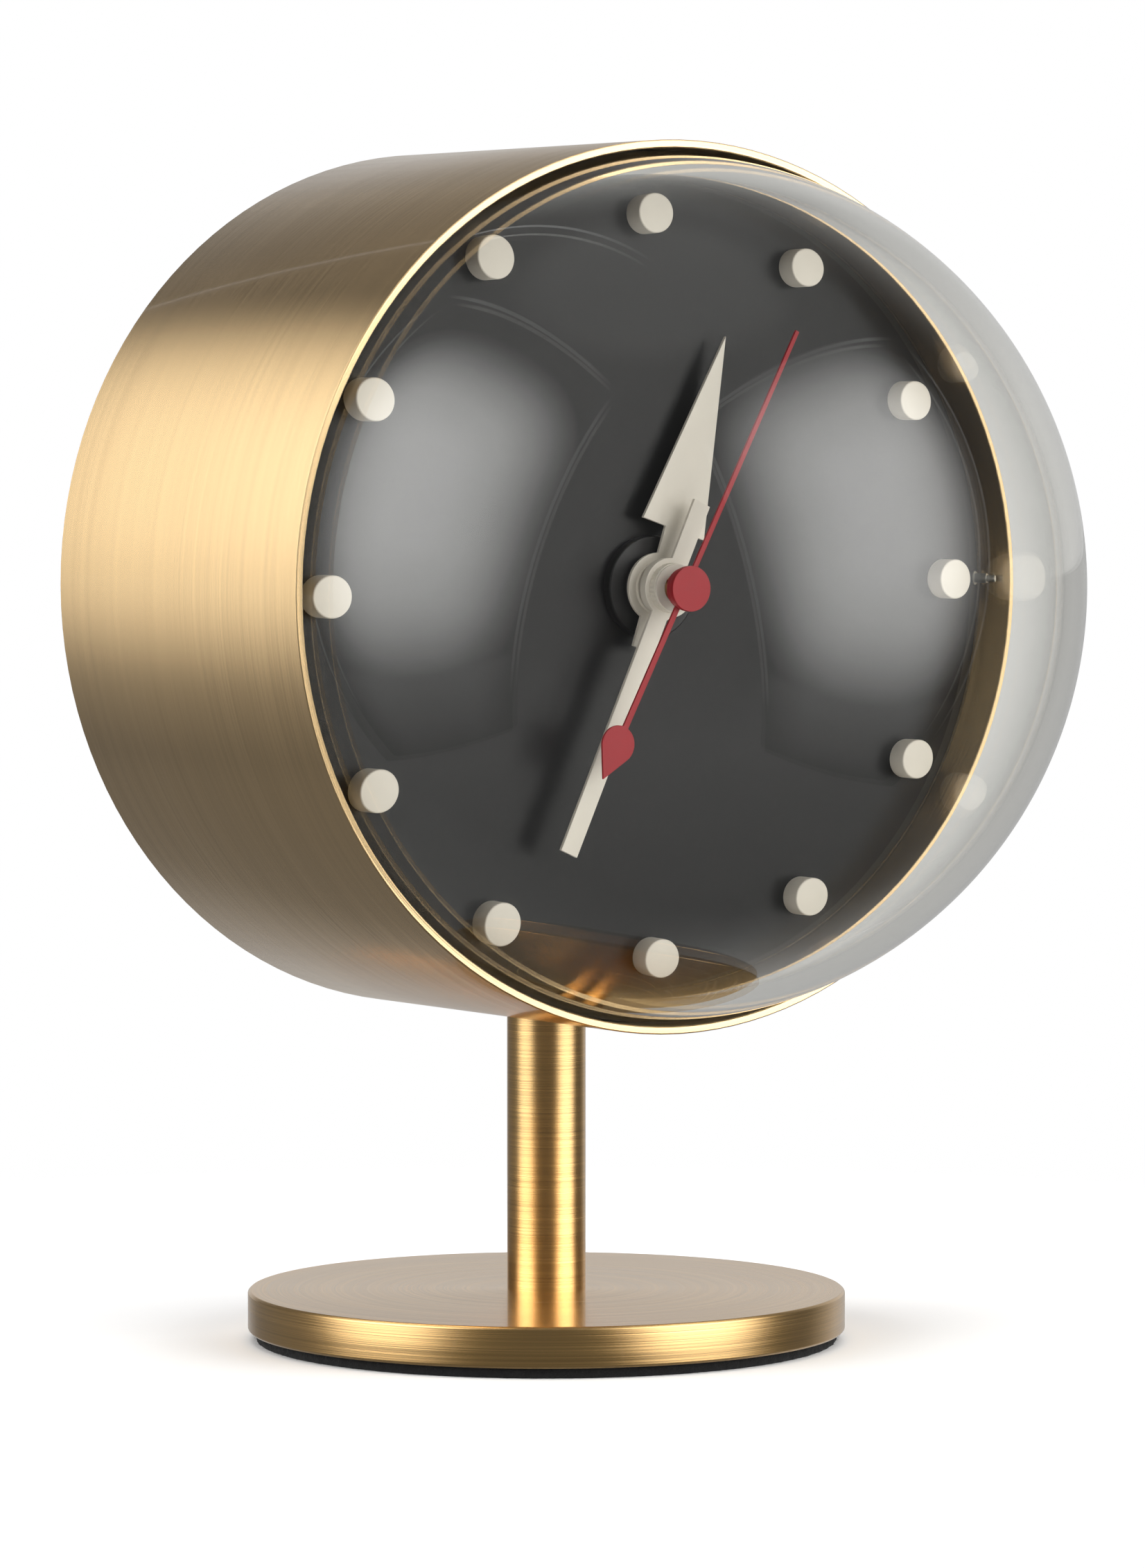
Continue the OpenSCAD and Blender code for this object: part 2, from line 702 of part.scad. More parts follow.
// Room for the battery, open to the rear and rounded at the front
module bay_space() {
    translate([-bay_half, bay_y - bay_r, rear_z - over]) cube([2 * bay_half, 2 * bay_r, bay_z - rear_z + over]);
    translate([-bay_half, bay_y, bay_z]) rotate([0, 90, 0]) cylinder(r = bay_r, h = 2 * bay_half);
}

module movement_case() {
    inner_w = movement_w - 2 * side_wall_t;
    room_low = bay_top + side_wall_t;
    color([0.16, 0.16, 0.17]) in_clock() {
        difference() {
            translate([0, 0, rear_z]) linear_extrude(plate_back - rear_z) housing_outline(0);
            translate([-inner_w / 2, room_low, rear_in])
                cube([inner_w, inner_w / 2 - room_low, plate_back - rear_in + over]);
            bay_space();
            for (place = [[0, 0], step_at, rotor_at, third_at])
                at(place) rod(pivot_r + running_gap, rear_in - pivot_l - running_gap, rear_in + over);
            at(setting_at) rod(setting_arbor_r + running_gap, rear_z - over, rear_in + over);
        }
        for (x = [leg_left + stator_leg_w / 2, leg_right - stator_leg_w / 2])
            at([x, coil_y]) rod(post_r, rear_in, stator_z);
        at([leg_left + stator_leg_w / 2, stator_low + stator_leg_w / 2]) rod(post_r, rear_in, stator_z);
        for (side = [-1, 1])
            at([board_x + side * (board_w / 2 - post_r), board_y]) rod(post_r, rear_in, board_z);
    }
}

// The bobbin and its winding on a flat core whose ends lie on the stator's legs
module coil() {
    from = leg_left + stator_leg_w + end_play;
    to = leg_right - stator_leg_w - end_play;
    middle = core_z + stator_t / 2;
    color([0.62, 0.33, 0.16]) in_clock() {
        translate([from, coil_y, middle]) rotate([0, 90, 0]) {
            cylinder(r = coil_r, h = to - from);
            cylinder(r = coil_r + flange_over, h = flange_t);
            translate([0, 0, to - from - flange_t]) cylinder(r = coil_r + flange_over, h = flange_t);
        }
        translate([leg_left, coil_y - stator_leg_w / 2, core_z])
            cube([leg_right - leg_left, stator_leg_w, stator_t]);
    }
}

module stator() {
    color([0.7, 0.7, 0.72]) in_clock() difference() {
        translate([0, 0, stator_z]) linear_extrude(stator_t) {
            translate([leg_left, stator_low]) square([leg_right - leg_left, stator_high - stator_low]);
            translate([leg_left, stator_low]) square([stator_leg_w, core_top - stator_low]);
            translate([leg_right - stator_leg_w, stator_low]) square([stator_leg_w, core_top - stator_low]);
        }
        at(rotor_at) rod(magnet_r + air_gap, stator_z - over, stator_z + stator_t + over);
    }
}

module circuit_board() {
    color([0.1, 0.35, 0.2]) in_clock() {
        translate([board_x - board_w / 2, board_y - board_h / 2, board_z]) cube([board_w, board_h, board_t]);
        at([board_x, board_y - board_h / 4]) rod(board_h / 5, board_z + board_t / 2, board_z + 2 * board_t);
    }
}

module quartz_crystal() {
    color([0.8, 0.8, 0.82]) in_clock()
        translate([board_x - quartz_l / 2, board_y + board_h / 4, board_z + board_t + quartz_r])
            rotate([0, 90, 0]) cylinder(r = quartz_r, h = quartz_l);
}

// A flat strip with a dimple for the button, and a bent leaf that presses on the battery's other end
module battery_contacts() {
    plate_x = bay_half - contact_t;
    strip_half = bay_r / 2;
    button_end = button_x + button_t / 2;
    leaf_x = -button_x + button_t / 2;
    wall_x = -bay_half;
    color([0.83, 0.8, 0.7]) in_clock() {
        translate([plate_x, bay_y - contact_w / 2, bay_z - strip_half])
            cube([contact_t, contact_w, 2 * strip_half]);
        translate([button_end + battery_gap / 2, bay_y, bay_z]) rotate([0, 90, 0])
            cylinder(r = button_r / 2, h = plate_x - button_end);
        translate([0, bay_y + contact_w / 2, 0]) rotate([90, 0, 0]) linear_extrude(contact_w)
            polygon([
                [wall_x, bay_z - strip_half], [wall_x + contact_t, bay_z - strip_half],
                [leaf_x - battery_gap / 2, bay_z], [wall_x + contact_t, bay_z + strip_half],
                [wall_x, bay_z + strip_half], [wall_x, bay_z + strip_half - 2 * contact_t],
                [leaf_x - battery_gap / 2 - contact_t, bay_z], [wall_x, bay_z - strip_half + 2 * contact_t]]);
    }
}

// A dish whose floor has a window for the movement, and whose lip closes the case
module rear_cover() {
    lip_r = bore_r - rear_gap;
    mouth = well_r + well_draft;
    color([0.12, 0.12, 0.13]) in_clock() difference() {
        rotate_extrude() difference() {
            polygon([
                [0, well_floor + rear_t], [well_r + rear_t, well_floor + rear_t],
                [mouth + rear_t, rear_lip + rear_t], [lip_r, rear_lip + rear_t],
                [lip_r, rear_lip], [mouth + mouth_r, rear_lip],
                [mouth, rear_lip + mouth_r], [well_r, well_floor], [0, well_floor]]);
            translate([mouth + mouth_r, rear_lip - over]) square([over, over]);
        }
        translate([0, 0, rear_z - window_gap])
            linear_extrude(movement_proud + window_gap + rear_t + over) housing_outline(window_gap);
        at_bosses() rod(rear_screw_r + screw_gap, well_floor - over, well_floor + rear_t + over);
    }
}

module rear_screws() {
    color([0.7, 0.7, 0.72]) in_clock() at_bosses() {
        rod(rear_screw_r, well_floor, well_floor + rear_screw_l);
        translate([0, 0, well_floor]) rotate([180, 0, 0]) slotted_head(rear_head_r, rear_head_t);
    }
}

module case_outside(r) {
    translate([0, case_back + case_front, axis_h]) rotate([90, 0, 0])
        cylinder(r = r, h = 2 * (case_back + case_front), $fn = 360);
}

// The stem's top is hollowed to the case's curve, and each end is tapped
module stem() {
    seat = axis_h - sqrt(case_r * case_r - stem_r * stem_r);
    low_thread = foot_h + stem_thread_l;
    high_thread = axis_h - case_r - stem_thread_l;
    color([0.78, 0.6, 0.32]) difference() {
        rotate_extrude() polygon([
            [stem_thread_r, foot_h], [stem_r, foot_h], [stem_r, seat], [stem_thread_r, seat],
            [stem_thread_r, high_thread], [0, high_thread], [0, low_thread],
            [stem_thread_r, low_thread]]);
        case_outside(case_r);
    }
}

module stem_screw() {
    seat = axis_h - bore_r + washer_t;
    tip = axis_h - case_r - stem_thread_l + screw_gap;
    color([0.72, 0.72, 0.74]) {
        translate([0, 0, tip]) cylinder(r = stem_thread_r, h = seat - tip);
        difference() {
            translate([0, 0, seat]) cylinder(r = stem_head_r, h = stem_head_t);
            translate([0, 0, seat + stem_head_t - key_depth]) key_socket();
        }
    }
}

// The washer's underside follows the inside of the case
module stem_washer() {
    low = axis_h - bore_r;
    hole_r = stem_thread_r + screw_gap;
    color([0.72, 0.72, 0.74]) intersection() {
        rotate_extrude() polygon([
            [hole_r, low - over], [washer_r, low - over], [washer_r, low + washer_t],
            [hole_r, low + washer_t]]);
        case_outside(bore_r);
    }
}

module base_disc() {
    color([0.78, 0.62, 0.4]) difference() {
        rotate_extrude() polygon([
            [0, felt_t], [base_r - base_chamfer, felt_t], [base_r, felt_t + base_chamfer],
            [base_r, foot_h - base_chamfer], [base_r - base_chamfer, foot_h], [0, foot_h]]);
        translate([0, 0, felt_t - over]) {
            cylinder(r = stem_thread_r + screw_gap, h = base_t + 2 * over);
            cylinder(r = base_head_r + screw_gap, h = base_head_t + over);
        }
    }
}

module base_screw() {
    color([0.72, 0.72, 0.74]) difference() {
        translate([0, 0, felt_t]) {
            cylinder(r = base_head_r, h = base_head_t);
            cylinder(r = stem_thread_r, h = base_t + stem_thread_l - screw_gap);
        }
        translate([0, 0, felt_t - over]) key_socket();
    }
}

module felt_pad() {
    color([0.07, 0.07, 0.07]) cylinder(r = base_r - felt_inset, h = felt_t);
}

// The long arrow of the hour hand with its neck and tail, on a round hub
module hour_hand() {
    neck = hour_neck_w / 2;
    back = hour_z - hand_t;
    color([0.87, 0.84, 0.77]) in_clock() clockwise(hour_angle) difference() {
        union() {
            translate([0, 0, back]) linear_extrude(hand_t) polygon([
                [-neck, -hour_tail], [neck, -hour_tail], [neck, arrow_start],
                [arrow_w / 2, arrow_start], [0, hour_reach], [-arrow_w / 2, arrow_start],
                [-neck, arrow_start]]);
            rod(hour_hub_r, back, hour_z);
            rod(hour_ring_r, back, hour_z + hour_ring_t);
        }
        rod(hour_pipe_r, back - over, hour_z + hour_ring_t + over);
    }
}

module minute_hand() {
    back = minute_z - hand_t;
    color([0.87, 0.84, 0.77]) in_clock() clockwise(minute_angle) difference() {
        union() {
            translate([-minute_w / 2, -minute_tail, back])
                cube([minute_w, minute_tail + minute_reach, hand_t]);
            rod(minute_hub_r, minute_z - minute_hub_t, minute_z);
        }
        rod(minute_pipe_r, minute_z - minute_hub_t - over, minute_z + over);
    }
}

module hand_nut() {
    plain_t = hand_nut_t / 4;
    color([0.85, 0.82, 0.75]) in_clock() difference() {
        union() {
            translate([0, 0, minute_z]) linear_extrude(hand_nut_t - plain_t)
                polygon(knurl_points(knurl_count, hand_nut_r, knurl_depth));
            rod(hand_nut_r - 2 * knurl_depth, minute_z, minute_z + hand_nut_t);
        }
        rod(minute_pipe_r, minute_z - over, minute_z + hand_nut_t + over);
    }
}

// The drop-shaped counterweight points away from the axis; its sides leave the circle as tangents
module drop() {
    lean = acos(drop_r / (drop_point - drop_at));
    touch = [drop_r * sin(lean), drop_r * cos(lean)];
    translate([0, -drop_at]) circle(r = drop_r);
    polygon([
        [touch[0], -drop_at - touch[1]], [0, -drop_at], [-touch[0], -drop_at - touch[1]],
        [0, -drop_point]]);
}

module second_hand() {
    back = needle_z - needle_t;
    boss_back = needle_z - needle_t / 2 - boss_t / 2;
    boss_front = boss_back + boss_t;
    color([0.64, 0.2, 0.2]) in_clock() clockwise(second_angle) difference() {
        union() {
            translate([0, 0, back]) linear_extrude(needle_t) {
                polygon([
                    [-needle_w / 2, -drop_at], [needle_w / 2, -drop_at],
                    [needle_tip_w / 2, second_reach], [-needle_tip_w / 2, second_reach]]);
                drop();
            }
            rod(boss_r, boss_back, boss_front);
            rod(neck_r, boss_front, second_z - cap_t);
            rod(cap_r, second_z - cap_t, second_z);
        }
        rod(second_arbor_r, boss_back - over, boss_front);
    }
}

// The second hand's arbor carries the second wheel and the pinion of the third wheel
module second_wheel() {
    boss_front = needle_z - needle_t / 2 + boss_t / 2;
    color([0.85, 0.83, 0.75]) in_clock() {
        wheel(second_teeth, step_module, 0, second_wheel_z);
        pinion(second_pinion_teeth, third_module, 0, third_z);
        rod(second_arbor_r, rear_in + end_play / 2, boss_front);
        rod(pivot_r, rear_in - pivot_l, rear_in + end_play);
    }
}

module rotor() {
    color([0.35, 0.35, 0.37]) in_clock() {
        arbor(rotor_at);
        at(rotor_at) {
            pinion(rotor_teeth, step_module, rotor_turn, step_z);
            rod(magnet_r, magnet_z, magnet_z + magnet_l);
        }
    }
}

module step_wheel() {
    color([0.9, 0.88, 0.8]) in_clock() {
        arbor(step_at);
        at(step_at) {
            wheel(step_teeth, step_module, 0, step_z);
            pinion(step_pinion_teeth, step_module, step_pinion_turn, second_wheel_z);
        }
    }
}

module third_wheel() {
    color([0.9, 0.88, 0.8]) in_clock() {
        arbor(third_at);
        at(third_at) {
            wheel(third_teeth, third_module, third_turn, third_z);
            pinion(third_pinion_teeth, centre_module, 0, centre_z);
        }
    }
}

module centre_wheel() {
    color([0.82, 0.68, 0.4]) in_clock() difference() {
        union() {
            wheel(centre_teeth, centre_module, centre_turn, centre_z);
            rod(minute_pipe_r + rim_w, centre_z, centre_z + wheel_t);
        }
        rod(minute_pipe_r + running_gap, centre_z - over, centre_z + wheel_t + over);
    }
}

// The minute hand's pipe, with the pinion that drives the motion wheel
module minute_pipe() {
    color([0.82, 0.68, 0.4]) in_clock() difference() {
        union() {
            pinion(cannon_teeth, motion_module, 0, motion_z);
            rod(minute_pipe_r, centre_z - pinion_over, minute_z + hand_nut_t);
        }
        rod(second_arbor_r + running_gap, centre_z - over, minute_z + hand_nut_t + over);
    }
}

module motion_wheel() {
    color([0.9, 0.88, 0.8]) in_clock() at(motion_at) difference() {
        union() {
            wheel(motion_teeth, motion_module, motion_turn, motion_z);
            teeth(motion_pinion_teeth, hour_module, 0, motion_z + wheel_t / 2, hour_wheel_z + wheel_t);
        }
        rod(arbor_r + running_gap, motion_z - over, plate_back);
    }
}

module hour_wheel() {
    color([0.9, 0.88, 0.8]) in_clock() difference() {
        union() {
            wheel(hour_teeth, hour_module, hour_turn, hour_wheel_z);
            rod(hour_pipe_r, hour_wheel_z, hour_z + hour_ring_t);
        }
        rod(minute_pipe_r + running_gap, hour_wheel_z - over, hour_z + hour_ring_t + over);
    }
}

module setting_knob() {
    top = rear_z - knob_gap;
    color([0.2, 0.2, 0.21]) in_clock() at(setting_at) difference() {
        translate([0, 0, top - knob_t]) linear_extrude(knob_t)
            polygon(knurl_points(knurl_count, knob_r, 2 * knurl_depth));
        rod(setting_arbor_r, top - knob_t / 2, top + over);
    }
}

module setting_pinion() {
    color([0.75, 0.75, 0.77]) in_clock() at(setting_at) {
        pinion(setting_teeth, motion_module, setting_turn, motion_z);
        rod(setting_arbor_r, rear_z - knob_gap - knob_t / 2, motion_z);
    }
}

module battery() {
    color([0.2, 0.2, 0.22]) in_clock() translate([-button_x + button_t / 2, bay_y, bay_z]) rotate([0, 90, 0]) {
        cylinder(d = battery_d, h = battery_l);
        cylinder(r = button_r, h = battery_l + button_t);
    }
}

case_shell();
dome_lens();
dome_screws();
dial_plate();
hour_markers();
dial_nut();
movement_gasket();
mounting_ring();
movement_front();
movement_case();
coil();
stator();
circuit_board();
quartz_crystal();
battery_contacts();
rear_cover();
rear_screws();
stem();
stem_screw();
stem_washer();
base_disc();
base_screw();
felt_pad();
second_hand();
second_wheel();
rotor();
step_wheel();
third_wheel();
centre_wheel();
minute_hand();
hand_nut();
minute_pipe();
motion_wheel();
hour_hand();
hour_wheel();
setting_knob();
setting_pinion();
battery();
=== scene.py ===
"""Looks of a round table clock: brushed brass case, clear dome, black dial, stem and foot."""
import json
import math
import random

import bmesh
import bpy
from bpy.props import FloatProperty, FloatVectorProperty, IntProperty, PointerProperty
from mathutils import Matrix, Vector, noise


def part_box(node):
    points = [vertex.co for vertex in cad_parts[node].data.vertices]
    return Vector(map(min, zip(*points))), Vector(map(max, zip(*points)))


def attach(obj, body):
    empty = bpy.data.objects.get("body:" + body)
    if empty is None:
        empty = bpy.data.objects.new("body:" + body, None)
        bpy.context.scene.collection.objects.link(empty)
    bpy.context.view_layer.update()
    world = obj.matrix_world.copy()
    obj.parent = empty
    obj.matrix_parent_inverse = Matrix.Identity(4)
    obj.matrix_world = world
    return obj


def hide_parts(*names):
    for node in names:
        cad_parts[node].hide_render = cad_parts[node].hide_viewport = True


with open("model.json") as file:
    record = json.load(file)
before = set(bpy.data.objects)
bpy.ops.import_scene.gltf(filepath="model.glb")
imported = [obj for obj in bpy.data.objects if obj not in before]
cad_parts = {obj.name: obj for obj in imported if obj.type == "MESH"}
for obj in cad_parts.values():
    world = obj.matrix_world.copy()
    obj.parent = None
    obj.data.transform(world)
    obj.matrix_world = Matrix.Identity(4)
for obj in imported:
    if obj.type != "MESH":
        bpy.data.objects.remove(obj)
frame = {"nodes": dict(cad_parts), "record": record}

bl_info = {
    "name": "Table Clock",
    "version": (1, 0, 0),
    "blender": (4, 5, 0),
    "location": "3D View > Sidebar > Clock",
    "description": "Finishes, fine pieces and studio of a round table clock",
    "category": "Object",
}

MM = 0.001
# Corners closer than this are one corner
JOIN = 0.001 * MM
# Faces that bend less than this are one flat face, and an edge that bends more than the other is sharp
FLAT = math.radians(0.1)
SHARP = math.radians(28)
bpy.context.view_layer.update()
BODY = {node: body for body, nodes in frame["record"]["behaviour"]["bodies"].items() for node in nodes}


def middle(node):
    """Centre of a CAD node's box."""
    low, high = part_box(node)
    return (low + high) / 2


def half_width(node):
    """Half the width of a CAD node from left to right."""
    low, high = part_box(node)
    return (high.x - low.x) / 2


# Points that the finishes turn round and the lamps face
HEAD = Vector((0, 0, middle("case_shell").z))
FOOT = Vector((0, 0, 0))
# Places of the lamps and the panels in the studio
SOFTBOX_DISTANCE = 0.9
FLOOR_LAMP_HEIGHT = 2.0
FLOOR_LAMP_SIZE = 2.0
FLOOR_RADIUS = 0.25
BACK_LAMP_SIZE = 0.8
# Width of the camera's sensor in millimetres
SENSOR = 36.0
# Share of the scratches' second flank, and of the plain metal between the scratches
SECOND_FLANK = 0.80
PLAIN_METAL = 0.60
# How far a softbox's soft tail reaches, as a share of its evenly lit part
TAIL = 1.5


def colour_property(name, description, value):
    """A colour that a user can change."""
    return FloatVectorProperty(
        name=name, description=description, subtype="COLOR", size=3, min=0, max=1, default=value)


def length_property(name, description, value):
    """A length in metres that a user can change."""
    return FloatProperty(
        name=name, description=description, subtype="DISTANCE", unit="LENGTH", precision=5, min=0,
        default=value)


class ClockFinishes(bpy.types.PropertyGroup):
    """Colours of the clock's finishes"""

    brass: colour_property("Brass", "Colour of the brushed case", (0.84, 0.60, 0.32))
    stand: colour_property("Stand", "Colour of the brushed stem and foot", (0.84, 0.535, 0.215))
    dial: colour_property("Dial", "Colour of the satin dial", (0.006, 0.006, 0.0065))
    cream: colour_property("Cream", "Colour of the studs", (0.765, 0.715, 0.635))
    # The hands' colour is the studs' cream made darker: painted shade on the hour and minute hands
    hand: colour_property("Hand", "Colour of the hour and minute hands", (0.70, 0.655, 0.575))
    red: colour_property("Red", "Colour of the second hand", (0.33, 0.011, 0.018))
    nut: colour_property("Nut", "Colour of the nut on the dial", (0.006, 0.006, 0.0065))
    felt: colour_property("Felt", "Colour of the felt under the foot", (0.005, 0.005, 0.005))
    plastic: colour_property("Plastic", "Colour of the back and the movement", (0.030, 0.030, 0.032))
    wrap: colour_property("Wrap", "Colour of the battery's wrap", (0.035, 0.04, 0.05))


class ClockShapes(bpy.types.PropertyGroup):
    """Sizes of the clock's fine shapes"""

    hand_edge: length_property("Hand edge", "Rounding of the stamped hands' edges", 0.06 * MM)
    stud_edge: length_property("Stud edge", "Rounding of the turned studs' edges", 0.06 * MM)
    metal_edge: length_property("Metal edge", "Rounding of the case's and the foot's edges", 0.05 * MM)
    cover_edge: length_property("Cover edge", "Rounding of the moulded back's edges", 0.25 * MM)
    hairline: length_property("Hairline", "Width of one brushing line on the brass", 0.12 * MM)
    dome_wall: length_property("Dome wall", "Wall of the clear dome", 2.8 * MM)
    dome_lip: length_property("Dome lip", "Rounding of the dome's outer edge at the dial", 0.3 * MM)
    dome_steps: IntProperty(name="Dome steps", description="Facets round the dome", default=256, min=32)
    felt_edge: length_property("Felt edge", "Rounding of the felt's edges", 0.25 * MM)
    felt_fray: length_property("Felt fray", "Unevenness of the felt's cut edge", 0.12 * MM)
    fibre: length_property("Fibre", "Longest loose fibre on the felt's edge", 0.7 * MM)
    fibres: IntProperty(name="Fibres", description="Loose fibres on the felt's edge", default=1500, min=0)


class ClockStudio(bpy.types.PropertyGroup):
    """Camera and light"""

    lens: FloatProperty(
        name="Lens", description="Focal length in millimetres on a 36 mm sensor", default=156.47, min=10)
    camera_side: FloatProperty(
        name="Camera side", description="Turn of the camera round the clock", subtype="ANGLE",
        default=math.radians(-33.161))
    camera_pitch: FloatProperty(
        name="Camera pitch", description="How far the camera looks down", subtype="ANGLE",
        default=math.radians(3.0512))
    distance: length_property("Distance", "Distance from the camera to the stem's axis", 0.8646)
    aim_height: length_property("Aim height", "Height of the point that the camera faces", 0.07071)
    aim_side: length_property("Aim side", "How far right of the stem the camera stands", 0.003323)
    left_light: FloatProperty(
        name="Left light", description="Radiance at the middle of the left softbox", default=4.3, min=0)
    right_light: FloatProperty(
        name="Right light", description="Radiance at the middle of the right softbox", default=4.4, min=0)
    floor_light: FloatProperty(
        name="Floor light", description="Power of the lamp over the floor", default=43.0, min=0)
    back_light: FloatProperty(
        name="Back light", description="Power of the lamp that lights the moulded back", default=7.0, min=0)


class Shade:
    """An output of a node; arithmetic on it adds Math nodes."""

    def __init__(self, maker, socket):
        self.maker = maker
        self.socket = socket

    def maths(self, operation, *terms):
        """Add one Math node."""
        return self.maker.node("Math", {"operation": operation}, dict(enumerate(terms)))

    def __add__(self, other):
        return self.maths("ADD", self, other)

    def __radd__(self, other):
        return self.maths("ADD", other, self)

    def __sub__(self, other):
        return self.maths("SUBTRACT", self, other)

    def __rsub__(self, other):
        return self.maths("SUBTRACT", other, self)

    def __mul__(self, other):
        return self.maths("MULTIPLY", self, other)

    def __rmul__(self, other):
        return self.maths("MULTIPLY", other, self)

    def __truediv__(self, other):
        return self.maths("DIVIDE", self, other)

    def __lt__(self, other):
        return self.maths("LESS_THAN", self, other)

    def __gt__(self, other):
        return self.maths("GREATER_THAN", self, other)

    def __abs__(self):
        return self.maths("ABSOLUTE", self)

    def most(self, other):
        return self.maths("MAXIMUM", self, other)


class Maker:
    """Builds the node tree of a material or of the world."""

    def __init__(self, tree):
        self.tree = tree
        tree.nodes.clear()

    def node(self, kind, settings, values, output=0):
        """Add a node, set it up and join it, and return one of its outputs."""
        node = self.tree.nodes.new("ShaderNode" + kind)
        for name, value in settings.items():
            if name == "stops":
                ramp = node.color_ramp
                while len(ramp.elements) < len(value):
                    ramp.elements.new(1.0)
                for element, (place, colour) in zip(ramp.elements, value):
                    element.position = place
                    element.color = colour
            else:
                setattr(node, name, value)
        for name, value in values.items():
            if isinstance(value, Shade):
                self.tree.links.new(value.socket, node.inputs[name])
            else:
                node.inputs[name].default_value = value
        return Shade(self, node.outputs[output]) if node.outputs else node

    def vectors(self, operation, first, second=(0, 0, 0), output=0):
        """Work on two vectors; output 1 is a plain number, such as a length."""
        return self.node("VectorMath", {"operation": operation}, {0: first, 1: second}, output)

    def scaled(self, vector, factor):
        """A vector times a number."""
        return self.node("VectorMath", {"operation": "SCALE"}, {0: vector, 3: factor})

    def triple(self, value):
        """A vector with the same value three times."""
        return self.node("CombineXYZ", {}, {0: value, 1: value, 2: value})

    def noise(self, vector, scale, detail=2.0):
        """Noise from 0 to 1 with a middle of 0.5."""
        return self.node("TexNoise", {}, {"Vector": vector, "Scale": scale, "Detail": detail})

    def grey_ramp(self, value, *stops):
        """A ramp of plain levels, each stop a place and a level."""
        colours = [(place, (level, level, level, 1)) for place, level in stops]
        return self.node("ValToRGB", {"stops": colours}, {"Fac": value})

    def blend(self, factor, first, second):
        """Colours mixed by a factor."""
        return self.node("Mix", {"data_type": "RGBA"}, {0: factor, 6: first, 7: second}, 2)

    def bump(self, height, strength, distance):
        """A normal leaned by a height."""
        return self.node(
            "Bump", {}, {"Height": height, "Strength": strength, "Distance": distance})

    def path(self, name):
        """One fact about the ray that asks."""
        return self.node("LightPath", {}, {}, name)

    def seen(self):
        """1 for what is looked at, straight or through clear plastic, and 0 for what is mirrored."""
        bounces = self.path("Glossy Depth") + self.path("Diffuse Depth")
        return self.path("Is Camera Ray").most(self.path("Is Transmission Ray") * (bounces < 0.5))

    def surface(self, values):
        """End the tree in a Principled shader with these sockets."""
        shader = self.node("BsdfPrincipled", {}, values)
        self.node("OutputMaterial", {}, {"Surface": shader})


def new_material(name):
    """An empty material and the maker of its nodes, with the object's coordinates at hand."""
    material = bpy.data.materials.new(name)
    material.use_nodes = True
    maker = Maker(material.node_tree)
    maker.point = maker.node("TexCoord", {}, {}, "Object")
    return material, maker


def opaque(colour, share=1.0):
    """A colour with full alpha, darkened or lightened by a share."""
    return tuple(min(1.0, share * level) for level in colour) + (1.0,)


def brushed_metal(name, colour, centre, axis, hairline, lean, roughness, lacquer, contrast):
    """Lacquered metal brushed round an axis: the scratches follow the turning, and their two flanks and
    the plain metal between them each mirror another part of the room."""
    material, maker = new_material(name)
    across = Vector((1, 1, 1)) - Vector(axis)
    place = maker.vectors("SUBTRACT", maker.point, centre)
    round_part = maker.vectors("MULTIPLY", place, across)
    radius = maker.vectors("LENGTH", round_part, output=1)
    along = maker.vectors("DOT_PRODUCT", place, axis, output=1)
    steps = (along + radius) * (1 / hairline)
    slow = maker.scaled(round_part, 30.0)
    line = maker.noise(maker.vectors("ADD", slow, maker.triple(steps)), 1.0, 1.0)
    group = maker.noise(maker.vectors("ADD", slow, maker.triple(steps * 0.35)), 1.0, 2.0)
    band = maker.noise(maker.vectors("ADD", maker.scaled(slow, 0.3), maker.triple(steps * 0.05)), 1.0, 2.0)
    cloud = maker.noise(maker.point, 45.0, 3.0)
    # Fine lines, groups of lines and broad bands together shade the metal
    streaks = (line - 0.5) * 1.6 + (group - 0.5) * 1.2 + band
    shade = maker.blend(streaks, opaque(colour, 1 - contrast), opaque(colour, 1 + contrast / 2))
    worn = maker.blend(cloud * 0.5, shade, opaque(colour, 0.97))
    gloss = roughness + (group - 0.5) * 0.10 + (cloud - 0.5) * 0.05
    surface_normal = maker.node("NewGeometry", {}, {}, "Normal")
    turning = maker.vectors("NORMALIZE", maker.vectors("CROSS_PRODUCT", axis, place))
    crosswise = maker.vectors("CROSS_PRODUCT", surface_normal, turning)

    def flank(tilt):
        """The metal with its scratches' flank leaned by a slope."""
        leaned = maker.scaled(crosswise, (line - 0.5) * 0.3 + (group - 0.5) * 0.1 + tilt)
        normal = maker.vectors("NORMALIZE", maker.vectors("ADD", surface_normal, leaned))
        return maker.node("BsdfPrincipled", {}, {
            "Base Color": worn, "Metallic": 1.0, "Roughness": gloss, "Normal": normal,
            "Coat Weight": lacquer, "Coat Roughness": 0.05})

    flanks = maker.node("MixShader", {}, {0: SECOND_FLANK, 1: flank(lean), 2: flank(-lean)})
    whole = maker.node("MixShader", {}, {0: PLAIN_METAL, 1: flanks, 2: flank(0.0)})
    maker.node("OutputMaterial", {}, {"Surface": whole})
    return material


def painted(name, colour, roughness, grain, grain_depth, coat=0.0, shine=0.5):
    """Sprayed paint with a fine grain and slight clouds in its gloss."""
    material, maker = new_material(name)
    fine = maker.noise(maker.point, grain, 2.0)
    cloud = maker.noise(maker.point, grain / 14, 3.0)
    shade = maker.blend(cloud, opaque(colour, 0.95), opaque(colour, 1.05))
    maker.surface({
        "Base Color": shade, "Roughness": roughness + (cloud - 0.5) * 0.08,
        "Coat Weight": coat, "Coat Roughness": 0.1, "Specular IOR Level": shine,
        "Normal": maker.bump(fine, 0.2, grain_depth)})
    return material


